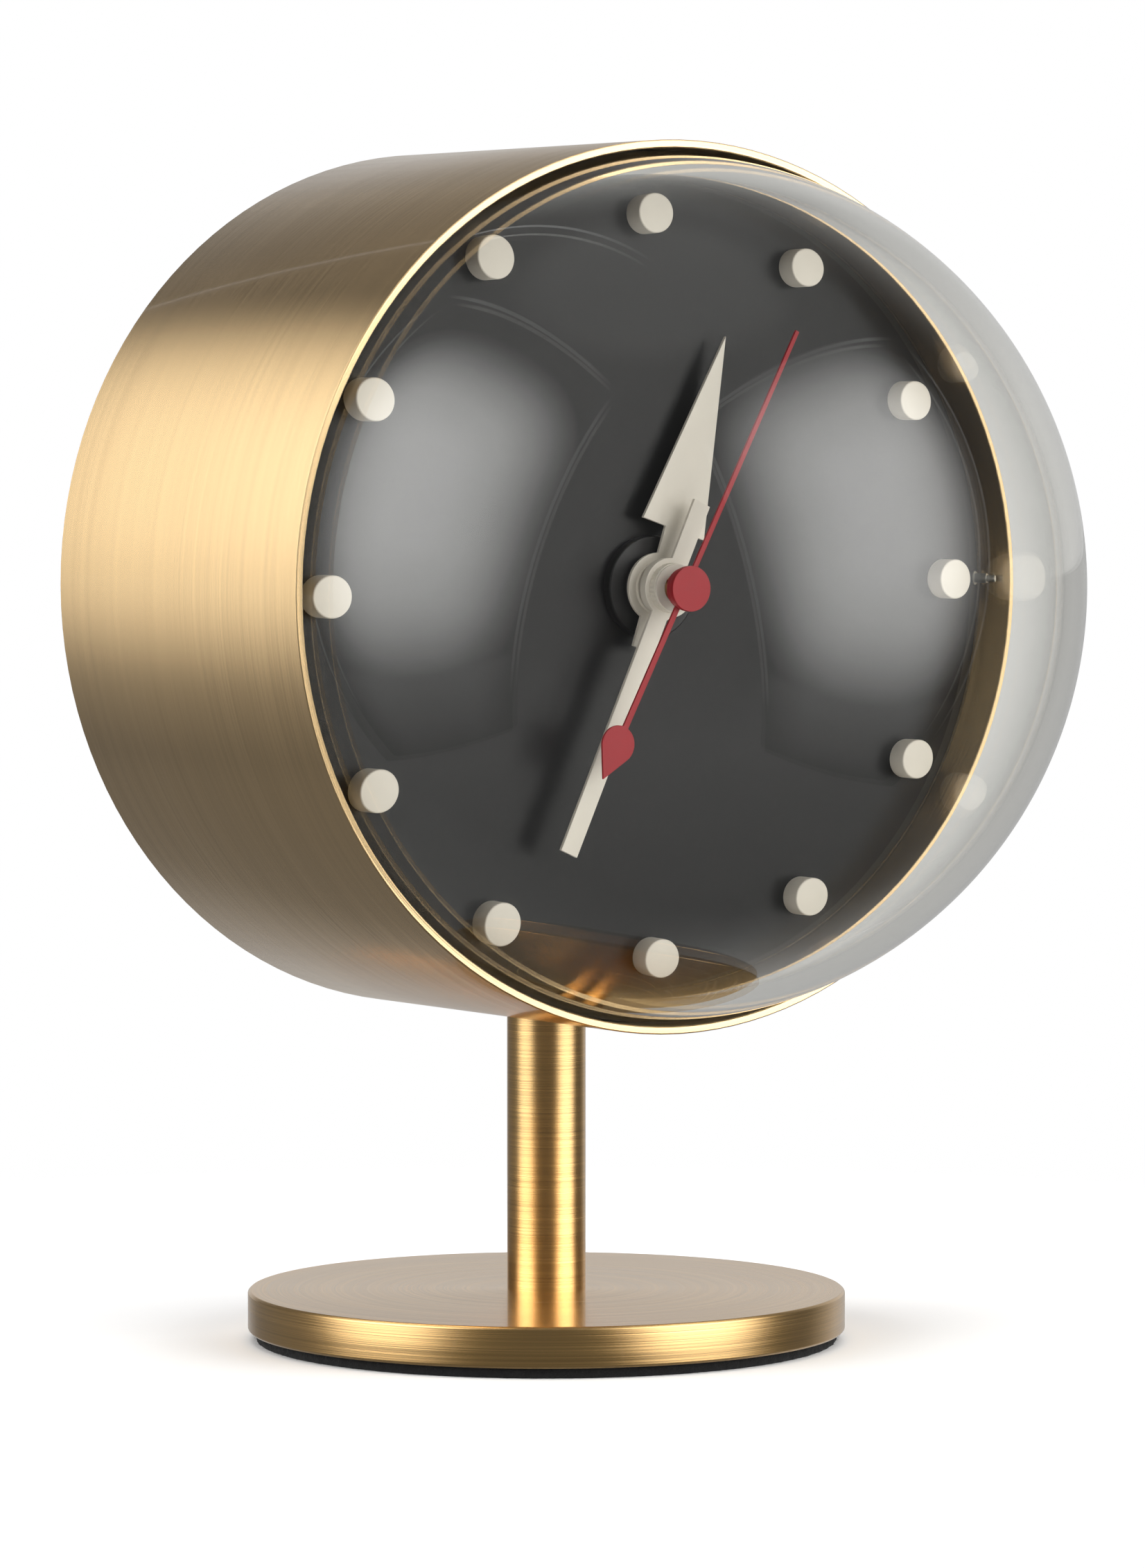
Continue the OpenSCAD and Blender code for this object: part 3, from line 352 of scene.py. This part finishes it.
def moulded(name, colour, roughness, grain, grain_depth):
    """Moulded plastic with a spark-eroded grain."""
    material, maker = new_material(name)
    pits = maker.node("TexVoronoi", {}, {"Vector": maker.point, "Scale": grain})
    cloud = maker.noise(maker.point, grain / 30, 2.0)
    shade = maker.blend(cloud, opaque(colour, 0.88), opaque(colour, 1.12))
    maker.surface({
        "Base Color": shade, "Roughness": roughness + (cloud - 0.5) * 0.14,
        "Normal": maker.bump(pits, 0.3, grain_depth)})
    return material


def plain_metal(name, colour, roughness, grain):
    """Small metal parts: plated, ground or stamped."""
    material, maker = new_material(name)
    streak = maker.noise(maker.vectors("MULTIPLY", maker.point, (1, 1, 9)), grain, 2.0)
    cloud = maker.noise(maker.point, grain / 10, 3.0)
    shade = maker.blend(cloud, opaque(colour, 0.86), opaque(colour, 1.08))
    maker.surface({
        "Base Color": shade, "Metallic": 1.0, "Roughness": roughness + (cloud - 0.5) * 0.2,
        "Normal": maker.bump(streak, 0.2, 0.01 * MM)})
    return material


def clear_plastic(name):
    """Clear polished plastic with a grey-green body; light that casts shadows passes straight through."""
    material, maker = new_material(name)
    haze = maker.noise(maker.point, 90.0, 3.0)
    glass = maker.node("BsdfPrincipled", {}, {
        "Base Color": (1, 1, 1, 1), "Roughness": haze * 0.008, "IOR": 1.49, "Transmission Weight": 1.0})
    clear = maker.node("BsdfTransparent", {}, {"Color": (0.92, 0.92, 0.92, 1)})
    passing = maker.path("Is Shadow Ray").most(maker.path("Is Diffuse Ray"))
    mixed = maker.node("MixShader", {}, {0: passing, 1: glass, 2: clear})
    body = maker.node("VolumeAbsorption", {}, {"Color": (0.50, 0.48, 0.26, 1), "Density": 34.0})
    maker.node("OutputMaterial", {}, {"Surface": mixed, "Volume": body})
    return material


def felt_cloth(name, colour):
    """Pressed felt: short tangled fibres."""
    material, maker = new_material(name)
    fibres = maker.noise(maker.point, 3500.0, 4.0)
    tufts = maker.noise(maker.point, 500.0, 3.0)
    shade = maker.blend(fibres, opaque(colour, 0.4), opaque(colour, 2.4))
    maker.surface({
        "Base Color": shade, "Roughness": 0.95, "Sheen Weight": 0.05,
        "Normal": maker.bump(fibres * 0.6 + tufts * 0.4, 0.9, 0.2 * MM)})
    return material


def dress(node, material):
    """Give a CAD node its finish."""
    data = frame["nodes"][node].data
    data.materials.clear()
    data.materials.append(material)


def piece(name, shape, material, node):
    """Make a finished shape a piece that stands for a CAD node and moves with it."""
    data = bpy.data.meshes.new(name)
    shape.to_mesh(data)
    shape.free()
    data.materials.append(material)
    made = bpy.data.objects.new(name, data)
    bpy.context.scene.collection.objects.link(made)
    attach(made, BODY[node])
    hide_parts(node)
    return made


def bend(edge):
    """Angle between the two faces of an edge."""
    return edge.calc_face_angle(0.0)


def mark_sharp(shape):
    """Shade every edge smooth but the sharp ones."""
    for edge in shape.edges:
        edge.smooth = bend(edge) < SHARP


def softened(node, width, material):
    """A copy of a CAD node with its sharp edges rounded."""
    shape = bmesh.new()
    shape.from_mesh(frame["nodes"][node].data)
    bmesh.ops.remove_doubles(shape, verts=shape.verts, dist=JOIN)
    bmesh.ops.dissolve_limit(shape, angle_limit=FLAT, verts=shape.verts, edges=shape.edges)
    for face in shape.faces:
        face.smooth = any(FLAT < bend(edge) < SHARP for edge in face.edges)
    edges = [edge for edge in shape.edges if bend(edge) >= SHARP]
    rounded = bmesh.ops.bevel(
        shape, geom=edges, offset=width, offset_type="OFFSET", segments=3, profile=0.5, material=-1,
        affect="EDGES", clamp_overlap=True)
    for face in rounded["faces"]:
        face.smooth = True
    mark_sharp(shape)
    return piece(node + "_round", shape, material, node)


def arc(shape, start, centre, axis, angle, steps):
    """Turn a corner about a point, leave its trace as edges and return the last corner."""
    trace = bmesh.ops.spin(
        shape, geom=[start], cent=centre, axis=axis, dvec=(0, 0, 0), angle=angle, steps=steps,
        use_merge=False, use_normal_flip=False, use_duplicate=False)
    return next(item for item in trace["geom_last"] if isinstance(item, bmesh.types.BMVert))


def line_to(shape, start, place):
    """Draw an edge from a corner to a place and return the new corner."""
    end = bmesh.ops.extrude_vert_indiv(shape, verts=[start])["verts"][0]
    end.co = place
    return end


def lathe(shape, centre, axis, steps):
    """Turn the drawn profile all the way round an axis into a closed skin."""
    bmesh.ops.spin(
        shape, geom=shape.verts[:] + shape.edges[:], cent=centre, axis=axis, dvec=(0, 0, 0),
        angle=math.tau, steps=steps, use_merge=True, use_normal_flip=False, use_duplicate=False)
    bmesh.ops.remove_doubles(shape, verts=shape.verts, dist=JOIN)
    bmesh.ops.recalc_face_normals(shape, faces=shape.faces)
    for face in shape.faces:
        face.smooth = True
    mark_sharp(shape)


class CLOCK_OT_case(bpy.types.Operator):
    """Round and brush the case tube"""

    bl_idname = "clock.case"
    bl_label = "Case"

    def execute(self, context):
        finishes = context.scene.table_clock_finishes
        shapes = context.scene.table_clock_shapes
        brass = brushed_metal(
            "case_brass", finishes.brass, HEAD, (0, 1, 0), shapes.hairline, lean=0.45, roughness=0.22,
            lacquer=0.5, contrast=0.13)
        softened("case_shell", shapes.metal_edge, brass)
        return {"FINISHED"}


class CLOCK_OT_stand(bpy.types.Operator):
    """Brush the stem and the foot"""

    bl_idname = "clock.stand"
    bl_label = "Stand"

    def execute(self, context):
        finishes = context.scene.table_clock_finishes
        shapes = context.scene.table_clock_shapes
        brass = brushed_metal(
            "stand_brass", finishes.stand, FOOT, (0, 0, 1), shapes.hairline, lean=0.25, roughness=0.25,
            lacquer=0.5, contrast=0.30)
        zinc = plain_metal("screw_zinc", (0.62, 0.62, 0.63), 0.3, 900.0)
        dress("stem", brass)
        softened("base_disc", shapes.metal_edge * 2, brass)
        for node in ("stem_screw", "stem_washer", "base_screw"):
            dress(node, zinc)
        return {"FINISHED"}


class CLOCK_OT_felt(bpy.types.Operator):
    """Felt under the foot, with a frayed edge and loose fibres"""

    bl_idname = "clock.felt"
    bl_label = "Felt"

    def execute(self, context):
        finishes = context.scene.table_clock_finishes
        shapes = context.scene.table_clock_shapes
        low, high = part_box("felt_pad")
        radius = half_width("felt_pad")
        shape = bmesh.new()
        bmesh.ops.create_cone(
            shape, cap_ends=True, cap_tris=False, segments=720, radius1=radius, radius2=radius,
            depth=high.z - low.z, matrix=Matrix.Translation((low + high) / 2))
        rims = [edge for edge in shape.edges if bend(edge) >= SHARP]
        bmesh.ops.bevel(
            shape, geom=rims, offset=shapes.felt_edge, offset_type="OFFSET", segments=2, profile=0.5,
            material=-1, affect="EDGES", clamp_overlap=True)
        wall = [edge for edge in shape.edges if abs(edge.verts[0].co.z - edge.verts[1].co.z) > radius / 100]
        bmesh.ops.subdivide_edges(shape, edges=wall, cuts=2, use_grid_fill=True)
        for corner in shape.verts:
            fray = noise.noise(corner.co / (0.9 * MM)) + noise.noise(corner.co / (0.35 * MM)) * 0.6
            corner.co.xy *= 1 + fray * shapes.felt_fray / radius
        self.add_fibres(shape, shapes, low.z, high.z, radius)
        for face in shape.faces:
            face.smooth = True
        piece("felt_pad_cut", shape, felt_cloth("black_felt", finishes.felt), "felt_pad")
        return {"FINISHED"}

    def add_fibres(self, shape, shapes, bottom, top, radius):
        """Loose fibres that stand out of the cut edge, none lower than the felt."""
        chance = random.Random(12)
        width = 0.018 * MM
        for _ in range(shapes.fibres):
            length = shapes.fibre * chance.uniform(0.25, 1.0)
            angle = chance.uniform(0, math.tau)
            height = chance.uniform(bottom + 0.12 * MM, top - 0.05 * MM)
            side = chance.uniform(-1.2, 1.2)
            rise = chance.uniform(-0.7, 0.5)
            rise = max(rise, (bottom + width - height) / length)
            outward = Vector((math.cos(angle), math.sin(angle), 0))
            sideways = Vector((-math.sin(angle), math.cos(angle), 0))
            way = (outward + sideways * side + Vector((0, 0, rise))).normalized()
            start = outward * (radius - 0.1 * MM) + Vector((0, 0, height))
            turn = way.to_track_quat("Z", "Y").to_matrix().to_4x4()
            place = Matrix.Translation(start + way * length / 2) @ turn
            bmesh.ops.create_cone(
                shape, cap_ends=True, cap_tris=False, segments=3, radius1=width, radius2=width / 3,
                depth=length, matrix=place)


class CLOCK_OT_dome(bpy.types.Operator):
    """Clear dome and its two screws"""

    bl_idname = "clock.dome"
    bl_label = "Dome"

    def execute(self, context):
        shapes = context.scene.table_clock_shapes
        low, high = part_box("dome_lens")
        radius = half_width("dome_lens")
        inner = radius - shapes.dome_wall
        lip = shapes.dome_lip
        ball = Vector((0, low.y + radius, HEAD.z))
        up = Vector((0, 0, 1))
        quarter = math.pi / 2
        steps = shapes.dome_steps // 4
        shape = bmesh.new()
        pole = bmesh.ops.create_vert(shape, co=ball - Vector((0, radius, 0)))["vert"][0]
        shoulder = arc(shape, pole, ball, (1, 0, 0), -quarter, steps)
        edge = line_to(shape, shoulder, Vector((0, high.y - lip, HEAD.z + radius)))
        turned = arc(shape, edge, edge.co - up * lip, (1, 0, 0), -quarter, 6)
        inside = line_to(shape, turned, Vector((0, high.y, HEAD.z + inner)))
        rim = line_to(shape, inside, ball + up * inner)
        arc(shape, rim, ball, (1, 0, 0), quarter, steps)
        lathe(shape, ball, (0, 1, 0), shapes.dome_steps)
        piece("dome_blown", shape, clear_plastic("clear_dome"), "dome_lens")
        dress("dome_screws", plain_metal("dome_screw_steel", (0.80, 0.80, 0.78), 0.42, 900.0))
        return {"FINISHED"}


class CLOCK_OT_dial(bpy.types.Operator):
    """Dial, studs and nut"""

    bl_idname = "clock.dial"
    bl_label = "Dial"

    def execute(self, context):
        finishes = context.scene.table_clock_finishes
        shapes = context.scene.table_clock_shapes
        dial = painted("dial_black", finishes.dial, 0.33, 4200.0, 0.001 * MM, shine=0.22)
        dress("dial_plate", dial)
        studs = painted("stud_cream", finishes.cream, 0.5, 5200.0, 0.01 * MM)
        softened("hour_markers", shapes.stud_edge, studs)
        nut = painted("nut_black", finishes.nut, 0.34, 4200.0, 0.001 * MM, shine=0.3)
        softened("dial_nut", shapes.metal_edge, nut)
        return {"FINISHED"}


class CLOCK_OT_hands(bpy.types.Operator):
    """Hour, minute and second hands"""

    bl_idname = "clock.hands"
    bl_label = "Hands"

    def execute(self, context):
        finishes = context.scene.table_clock_finishes
        shapes = context.scene.table_clock_shapes
        # The hands take the studs' cream made darker, as painted shade
        cream = painted("hand_cream_shaded", finishes.hand, 0.5, 5200.0, 0.01 * MM)
        for node in ("hour_hand", "minute_hand"):
            softened(node, shapes.hand_edge, cream)
        softened("hand_nut", shapes.hand_edge / 2, cream)
        red = painted("hand_red", finishes.red, 0.38, 4200.0, 0.01 * MM, shine=0.3)
        softened("second_hand", shapes.hand_edge, red)
        return {"FINISHED"}


class CLOCK_OT_movement(bpy.types.Operator):
    """Finishes of the movement's inner parts"""

    bl_idname = "clock.movement"
    bl_label = "Movement"

    def execute(self, context):
        finishes = context.scene.table_clock_finishes
        shapes = context.scene.table_clock_shapes
        housing = moulded("housing_plastic", finishes.plastic, 0.5, 2200.0, 0.02 * MM)
        white = moulded("wheel_plastic", (0.72, 0.69, 0.60), 0.4, 2500.0, 0.01 * MM)
        yellow = plain_metal("wheel_brass", (0.78, 0.58, 0.27), 0.28, 1500.0)
        iron = plain_metal("stator_iron", (0.55, 0.55, 0.57), 0.4, 700.0)
        plated = plain_metal("contact_nickel", (0.68, 0.66, 0.60), 0.25, 900.0)
        for node in ("movement_front", "mounting_ring"):
            dress(node, housing)
        softened("movement_case", shapes.cover_edge, housing)
        for node in ("second_wheel", "step_wheel", "third_wheel", "motion_wheel", "hour_wheel"):
            dress(node, white)
        for node in ("centre_wheel", "minute_pipe"):
            dress(node, yellow)
        dress("stator", iron)
        dress("rotor", plain_metal("magnet_grey", (0.16, 0.16, 0.17), 0.45, 700.0))
        dress("coil", plain_metal("coil_copper", (0.60, 0.27, 0.10), 0.35, 4000.0))
        dress("battery_contacts", plated)
        dress("setting_pinion", plated)
        dress("quartz_crystal", plated)
        dress("circuit_board", painted("board_green", (0.02, 0.16, 0.06), 0.35, 900.0, 0.02 * MM))
        dress("movement_gasket", moulded("gasket_rubber", (0.02, 0.02, 0.02), 0.8, 1800.0, 0.03 * MM))
        return {"FINISHED"}


class CLOCK_OT_back(bpy.types.Operator):
    """Rear cover, its screws and the knob"""

    bl_idname = "clock.back"
    bl_label = "Back"

    def execute(self, context):
        finishes = context.scene.table_clock_finishes
        shapes = context.scene.table_clock_shapes
        cover = moulded("cover_plastic", finishes.plastic, 0.55, 1500.0, 0.04 * MM)
        softened("rear_cover", shapes.cover_edge, cover)
        knob = moulded("knob_plastic", (0.06, 0.06, 0.062), 0.45, 2200.0, 0.02 * MM)
        softened("setting_knob", shapes.cover_edge / 3, knob)
        zinc = plain_metal("rear_screw_zinc", (0.62, 0.62, 0.63), 0.3, 900.0)
        softened("rear_screws", shapes.metal_edge, zinc)
        return {"FINISHED"}


class CLOCK_OT_battery(bpy.types.Operator):
    """Battery: a wrapped can with its two steel ends"""

    bl_idname = "clock.battery"
    bl_label = "Battery"

    def execute(self, context):
        finishes = context.scene.table_clock_finishes
        low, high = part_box("battery")
        radius = (high.z - low.z) / 2
        axis_y, axis_z = (low.y + high.y) / 2, (low.z + high.z) / 2
        shoulder = high.x - 1.2 * MM
        button = 2.6 * MM
        curl = 0.6 * MM
        fold = 0.35 * MM
        fold_radius = radius - 1.1 * MM
        inset = 0.25 * MM
        can_radius = radius - 0.4 * MM
        button_edge = 0.3 * MM
        steps = 96

        def spot(x, r):
            return Vector((x, axis_y, axis_z + r))

        shape = bmesh.new()
        start = bmesh.ops.create_vert(shape, co=spot(low.x + fold, fold_radius))["vert"][0]
        edge = line_to(shape, start, spot(low.x, radius - curl))
        edge = arc(shape, edge, spot(low.x + curl, radius - curl), (0, 1, 0), math.pi / 2, 6)
        edge = line_to(shape, edge, spot(shoulder - curl, radius))
        edge = arc(shape, edge, spot(shoulder - curl, radius - curl), (0, 1, 0), math.pi / 2, 6)
        edge = line_to(shape, edge, spot(shoulder - fold, fold_radius))
        line_to(shape, edge, start.co)
        lathe(shape, spot(0, 0), (1, 0, 0), steps)
        wrap = painted("battery_wrap", finishes.wrap, 0.25, 900.0, 0.01 * MM, coat=0.4)
        piece("battery_sleeve", shape, wrap, "battery")

        shape = bmesh.new()
        start = bmesh.ops.create_vert(shape, co=spot(low.x + inset, 0))["vert"][0]
        edge = line_to(shape, start, spot(low.x + inset, can_radius))
        edge = line_to(shape, edge, spot(shoulder - inset, can_radius))
        edge = line_to(shape, edge, spot(shoulder - inset, button + 0.9 * MM))
        edge = line_to(shape, edge, spot(shoulder, button + 0.5 * MM))
        edge = line_to(shape, edge, spot(shoulder, button))
        edge = line_to(shape, edge, spot(high.x - button_edge, button))
        rounding = spot(high.x - button_edge, button - button_edge)
        edge = arc(shape, edge, rounding, (0, 1, 0), math.pi / 2, 5)
        line_to(shape, edge, spot(high.x, 0))
        lathe(shape, spot(0, 0), (1, 0, 0), steps)
        steel = plain_metal("battery_steel", (0.70, 0.70, 0.70), 0.25, 900.0)
        piece("battery_can", shape, steel, "battery")
        return {"FINISHED"}


def towards(side, rise):
    """Unit vector from the clock's head, by its side from +Y towards +X and its rise, in degrees."""
    a, e = math.radians(side), math.radians(rise)
    return Vector((math.sin(a) * math.cos(e), math.cos(a) * math.cos(e), math.sin(e)))


def stage_plane(name, width, top, bottom, place, facing, material):
    """A flat panel of the studio at a place, which looks towards a point."""
    shape = bmesh.new()
    bmesh.ops.create_grid(shape, x_segments=1, y_segments=1, size=1.0)
    bmesh.ops.scale(shape, vec=(width, (top + bottom) / 2, 1), verts=shape.verts)
    bmesh.ops.translate(shape, vec=(0, (top - bottom) / 2, 0), verts=shape.verts)
    data = bpy.data.meshes.new(name)
    shape.to_mesh(data)
    shape.free()
    panel = bpy.data.objects.new(name, data)
    bpy.context.scene.collection.objects.link(panel)
    turn = (facing - place).to_track_quat("Z", "Y").to_matrix().to_4x4()
    panel.matrix_world = Matrix.Translation(place) @ turn
    data.materials.append(material)


def softbox_material(name, width, top, bottom, cloth, strength):
    """Light that is strongest at one spot, with a pale frame at its sides and top and a soft tail below."""
    material, maker = new_material(name)
    sideways = abs(maker.node("SeparateXYZ", {}, {0: maker.point}, "X")) * (1 / width)
    rise = maker.node("SeparateXYZ", {}, {0: maker.point}, "Y")
    drop = rise * (-1 / bottom)
    upright = (rise * (1 / cloth)).most(drop * TAIL)
    spread = sideways.maths("POWER", sideways, 3.0) + sideways.maths("POWER", upright, 3.0)
    reach = spread.maths("POWER", spread, 1 / 3)
    # Level from the brightest spot to the rim, then the frame, and the fading and the tail below the spot
    glow = maker.grey_ramp(
        reach, (0.0, 1.0), (0.25, 0.93), (0.4, 0.80), (0.5, 0.70), (0.6, 0.56), (0.7, 0.40), (0.8, 0.24),
        (0.9, 0.12), (1.0, 0.03))
    frame_line = maker.grey_ramp(
        sideways.most(rise * (1 / top)), (0.955, 0.0), (0.96, 0.17), (0.985, 0.17), (0.99, 0.03))
    corner = maker.grey_ramp(sideways * rise * (1 / top), (0.60, 1.0), (0.90, 0.1))
    fading = maker.grey_ramp(drop, (0.15, 1.0), (0.30, 0.90), (0.40, 0.74), (0.50, 0.60), (0.72, 0.0))
    tail = maker.grey_ramp(drop, (0.40, 0.0), (0.52, 0.12), (0.67, 0.07), (0.80, 0.045), (1.0, 0.012))
    narrowing = maker.grey_ramp(sideways, (0.5, 1.0), (1.0, 0.1))
    lit = (fading * glow.most(frame_line * corner)).most(tail * narrowing)
    light = maker.node("Emission", {}, {"Color": lit, "Strength": strength})
    away = maker.node("BsdfTransparent", {}, {})
    mixed = maker.node("MixShader", {}, {0: maker.seen(), 1: light, 2: away})
    maker.node("OutputMaterial", {}, {"Surface": mixed})
    return material


class CLOCK_OT_studio(bpy.types.Operator):
    """Camera, pale floor, softboxes and white background"""

    bl_idname = "clock.studio"
    bl_label = "Studio"

    def execute(self, context):
        studio = context.scene.table_clock_studio
        self.add_camera(context, studio)
        self.add_floor(context, studio)
        self.add_back_lamp(context, studio)
        self.add_softboxes(studio)
        self.add_world(context)
        context.scene.view_settings.view_transform = "Standard"
        return {"FINISHED"}

    def add_camera(self, context, studio):
        """The camera where the photograph was taken from."""
        side, pitch = studio.camera_side, studio.camera_pitch
        back = Vector((math.sin(side) * math.cos(pitch), -math.cos(side) * math.cos(pitch), math.sin(pitch)))
        right = Vector((math.cos(side), math.sin(side), 0))
        data = bpy.data.cameras.new("camera")
        data.sensor_width = SENSOR
        data.lens = studio.lens
        data.clip_start = 0.01
        camera = bpy.data.objects.new("camera", data)
        camera.location = Vector((0, 0, studio.aim_height)) + back * studio.distance + right * studio.aim_side
        camera.rotation_euler = (math.pi / 2 - pitch, 0, side)
        context.scene.collection.objects.link(camera)
        context.scene.camera = camera

    def add_floor(self, context, studio):
        """A pale floor with its own lamp, which melts into the white background."""
        material, maker = new_material("floor_pale")
        reach = maker.vectors("LENGTH", maker.point, output=1)
        melting = maker.grey_ramp(reach, (0.05, 0.0), (0.20, 1.0))
        bounced = maker.path("Is Glossy Ray").most(maker.path("Is Transmission Ray"))
        paint = maker.node("BsdfDiffuse", {}, {"Color": (0.86, 0.86, 0.86, 1)})
        away = maker.node("BsdfTransparent", {}, {})
        seen = maker.seen()
        hidden = (seen * melting).most((1 - seen) * bounced)
        mixed = maker.node("MixShader", {}, {0: hidden, 1: paint, 2: away})
        maker.node("OutputMaterial", {}, {"Surface": mixed})
        shape = bmesh.new()
        bmesh.ops.create_circle(shape, cap_ends=True, segments=96, radius=FLOOR_RADIUS)
        data = bpy.data.meshes.new("floor")
        shape.to_mesh(data)
        shape.free()
        data.materials.append(material)
        floor = bpy.data.objects.new("floor", data)
        context.scene.collection.objects.link(floor)
        above = Vector((0, 0, FLOOR_LAMP_HEIGHT))
        self.add_lamp(context, "floor_lamp", FLOOR_LAMP_SIZE, studio.floor_light, above, FOOT, [floor])

    def add_back_lamp(self, context, studio):
        """Fill light for the moulded back and for what is set into it."""
        nodes = ("rear_cover", "rear_screws", "movement_case", "setting_knob")
        lit = [bpy.data.objects[node + "_round"] for node in nodes]
        lit += [bpy.data.objects[name] for name in ("battery_sleeve", "battery_can")]
        place = HEAD + towards(side=28, rise=24)
        self.add_lamp(context, "back_lamp", BACK_LAMP_SIZE, studio.back_light, place, HEAD, lit)

    def add_lamp(self, context, name, size, power, place, facing, lit):
        """A square lamp that looks towards a point and lights only some objects."""
        data = bpy.data.lights.new(name, "AREA")
        data.shape = "SQUARE"
        data.size = size
        data.energy = power
        lamp = bpy.data.objects.new(name, data)
        turn = (place - facing).to_track_quat("Z", "Y").to_matrix().to_4x4()
        lamp.matrix_world = Matrix.Translation(place) @ turn
        context.scene.collection.objects.link(lamp)
        receivers = bpy.data.collections.new("lit_by_" + name)
        for item in lit:
            receivers.objects.link(item)
        lamp.light_linking.receiver_collection = receivers

    def add_softboxes(self, studio):
        """The two softboxes: side and rise in degrees; half width, top, bottom and cloth in metres."""
        boxes = {
            "softbox_left": (-82, 25.5, 0.67, 0.74, 1.65, 0.57, studio.left_light),
            "softbox_right": (153, 20.5, 0.68, 0.60, 1.72, 0.63, studio.right_light),
        }
        for name, (side, rise, width, top, bottom, cloth, strength) in boxes.items():
            material = softbox_material(name, width, top, bottom, cloth, strength)
            place = HEAD + towards(side, rise) * SOFTBOX_DISTANCE
            stage_plane(name, width, top, bottom, place, HEAD, material)

    def add_world(self, context):
        """White where it is looked at or piped through the dome's wall, and a dark room where mirrored."""
        world = bpy.data.worlds.new("studio")
        world.use_nodes = True
        context.scene.world = world
        maker = Maker(world.node_tree)
        direction = maker.node("TexCoord", {}, {}, "Generated")
        x, y, z = (maker.node("SeparateXYZ", {}, {0: direction}, name) for name in "XYZ")
        # How far to the right of straight up a ray leans, and whether it goes backwards
        slant = x / z.most(0.02)
        behind = maker.grey_ramp(y * 0.5 + 0.5, (0.48, 0.0), (0.70, 1.0))
        # A narrow light strip overhead, a pale wall on the right, a table below, a ceiling and a floor
        beam = maker.grey_ramp(
            slant * 5.0 + 0.3, (0.36, 0.02), (0.38, 0.08), (0.50, 0.08), (0.53, 0.02), (0.55, 1.0),
            (0.60, 1.0), (0.62, 0.02), (0.66, 0.03))
        wall = maker.grey_ramp(
            slant * 0.25, (0.0, 0.0), (0.02, 0.03), (0.16, 0.20), (0.42, 0.50), (1.0, 0.62))
        table = maker.grey_ramp(x * 0.5 + 0.5, (0.52, 0.09), (0.70, 0.45)) * (z < 0.0)
        overhead = maker.grey_ramp(z, (0.75, 0.015), (0.88, 0.04), (0.94, 0.20), (1.0, 0.22))
        ground = maker.grey_ramp(z * -1.0, (0.0, 0.0), (0.25, 0.01), (0.64, 0.09), (1.0, 0.0))
        above = beam.most(wall) * (z > 0.0)
        room = overhead.most(ground).most(behind * above.most(table))
        mirrored = maker.path("Is Glossy Ray").most(maker.path("Is Transmission Ray")) * room
        glossy, diffuse = maker.path("Glossy Depth"), maker.path("Diffuse Depth")
        # Light from behind that the dome's wall guides to the eye by one total reflection
        turned_once = maker.path("Is Transmission Ray") * (abs(glossy - 1.0) < 0.5) * (diffuse < 0.5)
        onward = maker.grey_ramp(y, (0.35, 0.0), (0.45, 0.15), (0.60, 0.42), (0.80, 0.92), (0.90, 1.0))
        rightward = maker.grey_ramp(x * 0.5 + 0.5, (0.55, 0.0), (0.68, 1.0))
        level = maker.grey_ramp(z * 0.5 + 0.5, (0.25, 0.3), (0.42, 0.55), (0.50, 1.0))
        piped = turned_once * onward * rightward * level
        white = maker.seen().most(piped).most(mirrored)
        colour = maker.blend(white, (0.09, 0.09, 0.09, 1), (1, 1, 1, 1))
        background = maker.node("Background", {}, {"Color": colour, "Strength": 1.0})
        maker.node("OutputWorld", {}, {"Surface": background})


class CLOCK_PT_panel(bpy.types.Panel):
    """Buttons of the table clock"""

    bl_idname = "CLOCK_PT_panel"
    bl_label = "Table Clock"
    bl_space_type = "VIEW_3D"
    bl_region_type = "UI"
    bl_category = "Clock"

    def draw(self, context):
        for operator in OPERATORS:
            self.layout.operator(operator.bl_idname)


OPERATORS = [
    CLOCK_OT_case, CLOCK_OT_stand, CLOCK_OT_felt, CLOCK_OT_dome, CLOCK_OT_dial, CLOCK_OT_hands,
    CLOCK_OT_movement, CLOCK_OT_back, CLOCK_OT_battery, CLOCK_OT_studio,
]
GROUPS = [ClockFinishes, ClockShapes, ClockStudio]


def register():
    """Register the classes and hang the values on the scene."""
    for item in GROUPS + OPERATORS + [CLOCK_PT_panel]:
        bpy.utils.register_class(item)
    bpy.types.Scene.table_clock_finishes = PointerProperty(type=ClockFinishes)
    bpy.types.Scene.table_clock_shapes = PointerProperty(type=ClockShapes)
    bpy.types.Scene.table_clock_studio = PointerProperty(type=ClockStudio)


def unregister():
    """Take everything off again."""
    del bpy.types.Scene.table_clock_studio
    del bpy.types.Scene.table_clock_shapes
    del bpy.types.Scene.table_clock_finishes
    for item in reversed(GROUPS + OPERATORS + [CLOCK_PT_panel]):
        bpy.utils.unregister_class(item)


def main():
    """Make every piece."""
    register()
    bpy.ops.clock.case()
    bpy.ops.clock.stand()
    bpy.ops.clock.felt()
    bpy.ops.clock.dome()
    bpy.ops.clock.dial()
    bpy.ops.clock.hands()
    bpy.ops.clock.movement()
    bpy.ops.clock.back()
    bpy.ops.clock.battery()
    bpy.ops.clock.studio()
    bpy.context.view_layer.update()


if __name__ == "__main__":
    main()
